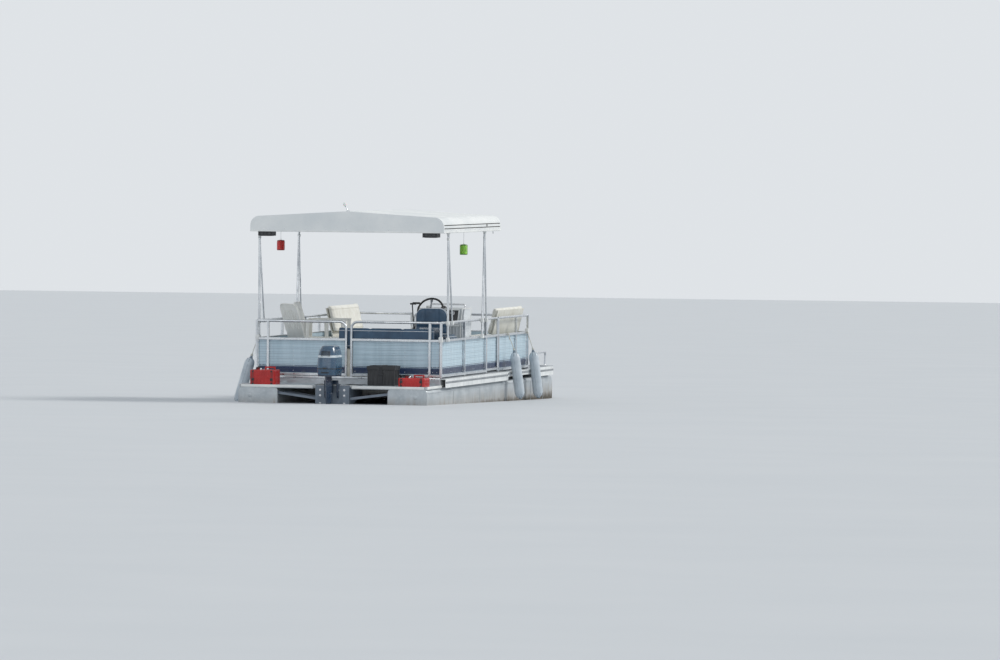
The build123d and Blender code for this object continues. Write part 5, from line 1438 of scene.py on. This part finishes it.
def motor_details():
    """The cowl's seal, band, vents, latch, handle and tell-tale; the leg's bolts, intakes and anode."""
    middle_y = (cowl_low.y + cowl_high.y) / 2
    height = cowl_high.z - cowl_low.z

    def around(share, grow):
        """Points round the cowl at a share of its height, laid on the CAD cowl's own skin."""
        points = []
        for way in circle((0, 0, 0), X, Y, 72):
            start = Vector((0, middle_y, cowl_low.z + height * share)) + way * 0.6
            place, normal, _, _ = skin("motor_cowl").ray_cast(start, -way)
            points.append(place + normal * grow)
        return points

    Form().tube(around(0.215, 0.0006), 0.0042, 8, closed=True).piece("cowl_seal", rubber_black, "motor")
    rows = [around(share, 0.0016) for share in band_shares]
    rows += [around(share, -0.0012) for share in reversed(band_shares)]
    Form().join(rows, closed=True).piece("cowl_band", cowl_pale, "motor")
    latch, vents = Form(), Form()
    rear, z = cowl_low.y, cowl_low.z + 0.079
    latch.box((-0.026, rear - 0.005, z - 0.008), (0.026, rear + 0.004, z + 0.010), bevel=0.003, steps=3)
    handle = [(x, rear + reach, cowl_low.z + up) for x, reach, up in (
        (-0.045, 0.030, 0.030), (-0.045, 0.006, 0.028), (0.045, 0.006, 0.028), (0.045, 0.030, 0.030),
    )]
    latch.tube(arc_points(handle, 0.012, 5), 0.006)
    half_x = (cowl_high.x - cowl_low.x) / 2
    latch.lathe((half_x - 0.012, middle_y + 0.02, cowl_low.z + 0.034), X, tell_tale, 20)
    latch.piece("cowl_latch", plastic_black, "motor")
    for k in range(5):
        z = cowl_high.z - 0.066 - k * 0.013
        y = on_skin("motor_cowl", (0, rear - 0.3, z), Y).y
        vents.box((-0.055, y - 0.0025, z - 0.0035), (0.055, y + 0.006, z + 0.0035), bevel=0.0016)
    vents.piece("cowl_vents", rubber_black, "motor")
    bolts, anode = Form(), Form()
    spots = [(leg_y + y, 0.36, 0.012, 0.005) for y in (-0.055, 0.025, 0.08)]
    spots += [(leg_y + 0.02, z, 0.010, 0.004) for z in (-0.18, 0.02, 0.20)]
    for side in both:
        for y, z, dia, head in spots:
            place = on_skin("motor_leg", (side * 0.3, y, z), X * -side)
            if place is not None:
                bolts.studs([place], X * side, dia, head, 6)
        for k in range(4):
            z = plate_z - 0.045 - k * 0.014
            place = on_skin("motor_leg", (side * 0.3, leg_y + 0.018, z), X * -side)
            if place is not None:
                anode.box((place.x, place.y - 0.022, z - 0.003),
                          (place.x + side * 0.0025, place.y + 0.022, z + 0.003), bevel=0.001)
    bolts.piece("leg_bolts", bright_metal, "motor")
    anode.box((-0.006, leg_y - 0.135, plate_z - 0.062), (0.006, leg_y - 0.085, plate_z - 0.004),
              bevel=0.003)
    anode.piece("leg_intake_anode", bracket_metal, "motor")


def transom_details():
    """Bolts and their washers on the motor's bracket, and the clamp's pin ends."""
    bracket_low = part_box("motor_bracket")[0]
    clamp_low, clamp_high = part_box("motor_clamp")
    bolts = Form()
    for side in both:
        for x, z in bracket_bolts:
            place = on_skin("motor_bracket", (side * x, bracket_low.y - 0.3, z), Y)
            if place is not None:
                bolts.lathe(place, -Y, bolt_pad, 20)
                bolts.studs([place - Y * 0.002], -Y, 0.014, 0.007, 6)
        for z in (clamp_high.z - 0.040, clamp_high.z - 0.120):
            place = on_skin("motor_clamp", (side * 0.4, clamp_low.y + 0.060, z), X * -side)
            if place is not None:
                bolts.studs([place], X * side, 0.016, 0.006, 6)
    bolts.piece("bracket_bolts", bright_metal)


# Things on the platform
tank_cap = ((0.030, -0.002), (0.029, 0.003), (0.012, 0.005), (0.010, 0.011), (0.006, 0.013), (0, 0.013))
hose_fitting = ((0.017, -0.002), (0.017, 0.006), (0.010, 0.008), (0.008, 0.018), (0.006, 0.020), (0, 0.020))
tank_gauge = ((0.020, -0.002), (0.020, 0.003), (0.014, 0.005), (0, 0.005))
cable_gland = ((0.012, 0), (0.012, 0.006), (0.008, 0.010), (0.006, 0.016), (0, 0.016))


def wall_ribs(form, low, high, columns, rows, half, out):
    """Upright ribs on the four walls between two corners, at places along X and along Y."""
    for x in columns:
        for y, way in ((low.y, -1), (high.y, 1)):
            form.box((x - half, y, low.z), (x + half, y + way * out, high.z), steps=3)
    for x, way in ((low.x, -1), (high.x, 1)):
        for y in rows:
            form.box((x, y - half, low.z), (x + way * out, y + half, high.z), steps=3)


def add_seam(form, low, high, z, round_by, steps, thick):
    """A thin bead round a box's walls at a height."""
    start = (low.x, (low.y + high.y) / 2, z)
    corners = [(x, y, z) for x, y in ((low.x, low.y), (high.x, low.y), (high.x, high.y), (low.x, high.y))]
    form.tube(arc_points([start, *corners, start], round_by, steps)[:-1], thick, 8, closed=True)


def add_strap(form, x, low, high, front, half, thick):
    """A flat strap over a box: front is (distance out, height) up one side; half is its half width."""
    points = [Vector((x, low.y - out, z)) for out, z in front]
    points += [Vector((x, high.y + out, z)) for out, z in reversed(front)]
    rings = []
    for before, point, after in zip(points[:1] + points, points, points[1:] + points[-1:]):
        out = X.cross((after - before).normalized()) * (thick / 2)
        rings.append([point + X * (half * a) + out * b for a, b in ((-1, -1), (1, -1), (1, 1), (-1, 1))])
    form.join(rings)


def skin_top(name, x, y):
    """The height of a CAD node's upper surface at a place."""
    return on_skin(name, (x, y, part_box(name)[1].z + 0.3), -Z).z


def tank_details():
    """Moulded ribs, a vented cap, a gauge, a hose fitting and hold-down straps on both fuel tanks."""
    for name in ("fuel_tank_port", "fuel_tank_starboard"):
        low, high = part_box(name)
        width, depth = high.x - low.x, high.y - low.y
        body_top = skin_top(name, high.x - 0.030, low.y + 0.045)
        ribs, caps, fittings, straps = Form(), Form(), Form(), Form()
        columns = shares(low.x, high.x, (0.14, 0.284, 0.428, 0.572, 0.716, 0.86))
        rows = shares(low.y, high.y, (0.2, 0.4, 0.6, 0.8))
        upper = Vector((high.x, high.y, body_top - 0.026))
        wall_ribs(ribs, low + Z * 0.018, upper, columns, rows, 0.006, 0.004)
        add_seam(ribs, low, high, (low.z + body_top) / 2, 0.030, 5, 0.0042)
        ribs.piece(name + "_ribs", tank_plastic)
        x, y = (low.x + high.x) / 2 - width / 4, (low.y + high.y) / 2
        top = skin_top(name, x, y)
        for place in circle((x, y, top - 0.022), X * 0.0315, Y * 0.0315, 20):
            caps.tube([place, place + Z * 0.020], 0.0022, 6)
        caps.lathe((x, y, top), Z, tank_cap, 32).piece(name + "_cap", plastic_black)
        x = low.x + width * 0.40
        top = skin_top(name, x, y - depth * 0.27)
        fittings.lathe((x, y - depth * 0.27, top), Z, hose_fitting)
        fittings.lathe((x + 0.001, y + depth * 0.27, top), Z, tank_gauge)
        fittings.piece(name + "_fittings", bright_metal)
        for x in (low.x + width * 0.13, high.x - width * 0.13):
            front = ((0.002, low.z + 0.001), (0.002, body_top - 0.012), (-0.012, body_top + 0.0015))
            add_strap(straps, x, low, high, front, 0.012, 0.0018)
            straps.box((x - 0.017, low.y - 0.008, low.z + 0.045), (x + 0.017, low.y - 0.002, low.z + 0.075))
            for y in (low.y - 0.012, high.y + 0.012):
                straps.box((x - 0.015, y - 0.010, low.z), (x + 0.015, y + 0.010, low.z + 0.003),
                           bevel=0.001)
        straps.piece(name + "_straps", webbing)


def battery_details():
    """A ribbed box with a lipped lid, vents, a strap with a buckle and cable glands."""
    low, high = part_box("battery_box")
    ribs, strap, lid, glands = Form(), Form(), Form(), Form()
    lid_z, draft = high.z - 0.045, Vector((0.008, 0.008, 0))
    columns = shares(low.x + draft.x, high.x - draft.x, [(k + 0.5) / 7 for k in range(7)])
    upper = high - draft
    upper.z = lid_z - 0.010
    wall_ribs(ribs, low + draft + Z * 0.012, upper, columns, shares(low.y, high.y, (0.25, 0.5, 0.75)),
              0.007, 0.005)
    ribs.piece("battery_box_ribs", plastic_black)
    lid.box((low.x + 0.03, low.y + 0.03, high.z - 0.001), (high.x - 0.03, high.y - 0.03, high.z + 0.006),
            bevel=0.004, steps=3)
    for x in shares(low.x, high.x, (0.3, 0.4, 0.5, 0.6, 0.7)):
        lid.box((x - 0.010, low.y - 0.003, lid_z + 0.012), (x + 0.010, low.y + 0.003, lid_z + 0.020),
                bevel=0.0015)
    add_seam(lid, low, high, lid_z + 0.003, 0.010, 4, 0.003)
    lid.piece("battery_box_lid", plastic_black)
    x = (low.x + high.x) / 2
    front = ((0.0015, low.z + 0.001), (0.0035, lid_z), (0.002, high.z - 0.006), (-0.014, high.z + 0.009))
    add_strap(strap, x, low, high, front, 0.020, 0.002)
    strap.box((x - 0.027, low.y - 0.010, low.z + 0.12), (x + 0.027, low.y - 0.003, low.z + 0.16))
    strap.piece("battery_box_strap", webbing)
    for x in shares(low.x, high.x, (0.22, 0.78)):
        glands.lathe((x, high.y - 0.006, lid_z - 0.030), Y, cable_gland, 20)
    glands.piece("battery_box_glands", rubber_grey)


# Fenders: x of the head and of the foot's line, head above the deck
fender_rows = {
    "fender_port": (-1.262, -1.440, 0.215),
    "fender_starboard_aft": (1.255, 1.340, 0.235),
    "fender_starboard_forward": (1.255, 1.330, 0.215),
}
fender_length, fender_radius, fender_groove, end_length = 0.590, 0.0622, 0.0008, 0.100
fender_half = ((0, 0), (0.012, 0.0), (0.017, 0.003), (0.018, 0.012), (0.026, 0.016), (0.040, 0.026),
               (0.053, 0.044), (0.0600, 0.070), (fender_radius, end_length))
fender_profile = (
    *fender_half,
    *((fender_radius - fender_groove * (k % 2), end_length + (fender_length - 2 * end_length) * k / 12)
      for k in range(1, 12)),
    *((radius, fender_length - height) for radius, height in reversed(fender_half)),
)
end_rib = ((0.016, 0.022), (0.030, 0.0425), (0.058, 0.0565))
end_collar = ((0.0185, -0.004), (0.0205, 0.0), (0.0205, 0.014), (0.017, 0.0175), (0, 0.0175))
end_eye = ((0.0145, 0), (0.0145, 0.012), (0.010, 0.019), (0, 0.0195))


def fenders():
    """Vinyl fenders: moulded end ribs, collars, a mould seam, and a knotted line up to the mid rail."""
    for name, (head_x, foot_x, rise) in fender_rows.items():
        low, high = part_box(name)
        side = math.copysign(1, head_x)
        y = (low.y + high.y) / 2
        head = Vector((head_x, y, deck_z + rise))
        along = Vector((head_x - foot_x, 0, fender_length)).normalized()
        foot = head - along * fender_length
        across = along.cross(Y).normalized()
        out = along.cross(across)
        body = Form().lathe(foot, along, fender_profile, 44).piece(name + "_body", fender_vinyl)
        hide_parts(name)
        ends, line = Form(), Form()
        for base, way in ((foot, -along), (head, along)):
            for radial in circle((0, 0, 0), across, out, 8):
                ends.tube([base - way * depth + radial * reach for depth, reach in end_rib], 0.0036, 8)
            ends.lathe(base - way * 0.016, way, end_collar, 28)
        seam = out * fender_radius
        ends.tube([foot + along * 0.085 + seam, head - along * 0.085 + seam], 0.0012, 6)
        ends.lathe(head + along * 0.001, along, end_eye)
        ends.piece(name + "_ends", fender_end)
        knot = Vector((side * (min(abs(low.x), abs(high.x)) + 0.010), y, high.z - 0.012))
        slack = (head + knot) / 2 + X * (side * 0.004)
        line.tube([head + along * 0.004, head + along * 0.022, slack, knot], 0.0046)
        for height, grow in ((0.020, 0.0105), (0.028, 0.012), (0.036, 0.0105)):
            line.loop(head + along * height, across * grow, out * grow, 14, 0.0042, 10)
        for dy in (-0.009, 0.0, 0.009):
            line.loop(knot + Y * dy, X * 0.0085, Y * 0.0025 + Z * 0.0085, 16, 0.0046, 10)
        tail = [knot + Vector((side * dx, dy, dz))
                for dx, dy, dz in ((0.004, 0.012, -0.006), (0.007, 0.017, -0.030), (0.006, 0.019, -0.075))]
        line.tube(arc_points(tail, 0.012, 4), 0.0042, 10)
        line.piece(name + "_line", white_rope)


# Armchairs: x, station from the stern fence, turn to starboard in degrees
chair_rows = {"armchair_aft": (-0.625, 0.760, 50), "armchair_forward": (-0.720, 1.530, 80)}
chair_half, chair_rear, chair_front = 0.257, -0.260, 0.260
rim_z, arm_z, back_foot_z = 0.4215, 0.650, 0.408
slot_low_z, slot_high_z = 0.4195, 0.4206
back_lean, back_rise = 0.130, 0.442


def chair_details():
    """Rims round the seats, arms and backs, foot pads and drain slots on both resin chairs."""
    for name, (x, station, turn) in chair_rows.items():
        spin = Matrix.Rotation(-math.radians(turn), 4, "Z")
        place = Matrix.Translation((x, stern_y + station, deck_z)) @ spin
        rims, pads, slots = Form(), Form(), Form()
        half, rear = chair_half - 0.005, chair_rear + 0.02
        start, front = (0, rear), chair_front
        seat = [start, (half, rear), (half, front), (-half, front), (-half, rear), start]
        seat = arc_points([(*spot, rim_z) for spot in seat], 0.045)
        rims.tube([place @ v for v in seat[:-1]], 0.0045, 8, closed=True)
        for side in both:
            arm = [(0.277, -0.200), (0.277, 0.264), (0.231, 0.264), (0.231, -0.200)]
            arm = arc_points([(side * dx, dy, arm_z) for dx, dy in arm], 0.020)
            rims.tube([place @ v for v in arm], 0.0042, 8)
            rims.tube([place @ (v - Z * 0.016) for v in arm], 0.0036, 8)
            for y in (chair_rear + 0.009, chair_front - 0.009):
                foot = Matrix.Translation(place @ Vector((side * 0.263, y, 0))) @ spin
                pads.box((-0.0185, -0.0185, 0.0), (0.0185, 0.0185, 0.007), bevel=0.003, turn=foot)
        slope = math.hypot(back_lean, back_rise)
        up = Vector((0, -back_lean, back_rise)) / slope
        forward = Vector((0, back_rise, back_lean)) / slope
        back = ((-chair_half, 0.12), (-chair_half, slope), (chair_half, slope), (chair_half, 0.12))
        for depth in (0.0, 0.016):
            base = Vector((0, chair_rear, back_foot_z)) + forward * depth
            outline = arc_points([base + X * u + up * v for u, v in back], 0.090, 10)
            rims.tube([place @ v for v in outline], 0.0052, 10)
        for k in range(9):
            y = -0.12 + 0.035 * k
            slots.box((-0.10, y - 0.004, slot_low_z), (0.10, y + 0.004, slot_high_z), bevel=0.0005, steps=1,
                      turn=place)
        rims.piece(name + "_rims", plastic_white)
        pads.piece(name + "_feet", plastic_white)
        slots.piece(name + "_seat_slots", rubber_grey)


# Bench boxes
finger_pull = ((0.020, -0.001), (0.020, 0.002), (0.015, 0.004), (0.013, 0.001), (0, 0.001))


def bench_box_details():
    """Panel frames, vents and finger pulls on the bow benches' boxes, and frames on the stern bench."""
    low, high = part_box("bench_bases")
    base_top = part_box("bench_seat_starboard")[0].z
    frames, vents, pulls, trim = Form(), Form(), Form(), Form()
    middle_y, rear, front = (low.y + high.y) / 2, low.y + 0.02, high.y - 0.02
    quarters = shares(low.y, high.y, (0.25, 0.75))
    for side in both:
        x = on_skin("bench_bases", (0, middle_y, deck_z + 0.20), X * side).x
        out = x - side * 0.005
        for z in (deck_z + 0.030, base_top - 0.026):
            frames.box((x, rear, z), (out, front, z + 0.014))
        for y in (rear, middle_y - 0.007, front - 0.014):
            frames.box((x, y, deck_z + 0.044), (out, y + 0.014, base_top - 0.026))
        for row in range(6):
            z = deck_z + 0.10 + row * 0.016
            for y in quarters:
                vents.box((x + side * 0.001, y - 0.07, z), (x - side * 0.003, y + 0.07, z + 0.006),
                          bevel=0.001)
        for y in quarters:
            pulls.lathe((x, y, base_top - 0.055), X * -side, finger_pull, 28)
    frames.piece("bench_box_frames", bench_shell)
    vents.piece("bench_box_vents", rubber_grey)
    pulls.piece("bench_box_pulls", bright_metal)
    low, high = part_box("stern_bench_base")
    width = (high.x - low.x) / 4
    for x in (low.x + k * width for k in range(4)):
        first, last = (x + 0.018, deck_z + 0.040), (x + width - 0.018, high.z - 0.022)
        for near, far in frame_bars(first, last, 0.012, 0.012):
            trim.box((near[0], high.y, near[1]), (far[0], high.y + 0.005, far[1]))
    trim.piece("stern_bench_frames", bench_shell)


# Build it all in this order
for build in (
    place_camera, pale_floor, studio_light, pontoon_details, deck_details, channel_details, panel_rivets,
    fence_fittings, bow_rail_details, roof_details, lining, poles_details, lanterns, speaker_details,
    stern_light_details, console_details, steering_wheel, throttle_details, motor_details,
    transom_details, tank_details, battery_details, fenders, chair_details, bench_box_details,
    bench_cushions, stern_bench_cushions, helm_cushions,
):
    build()
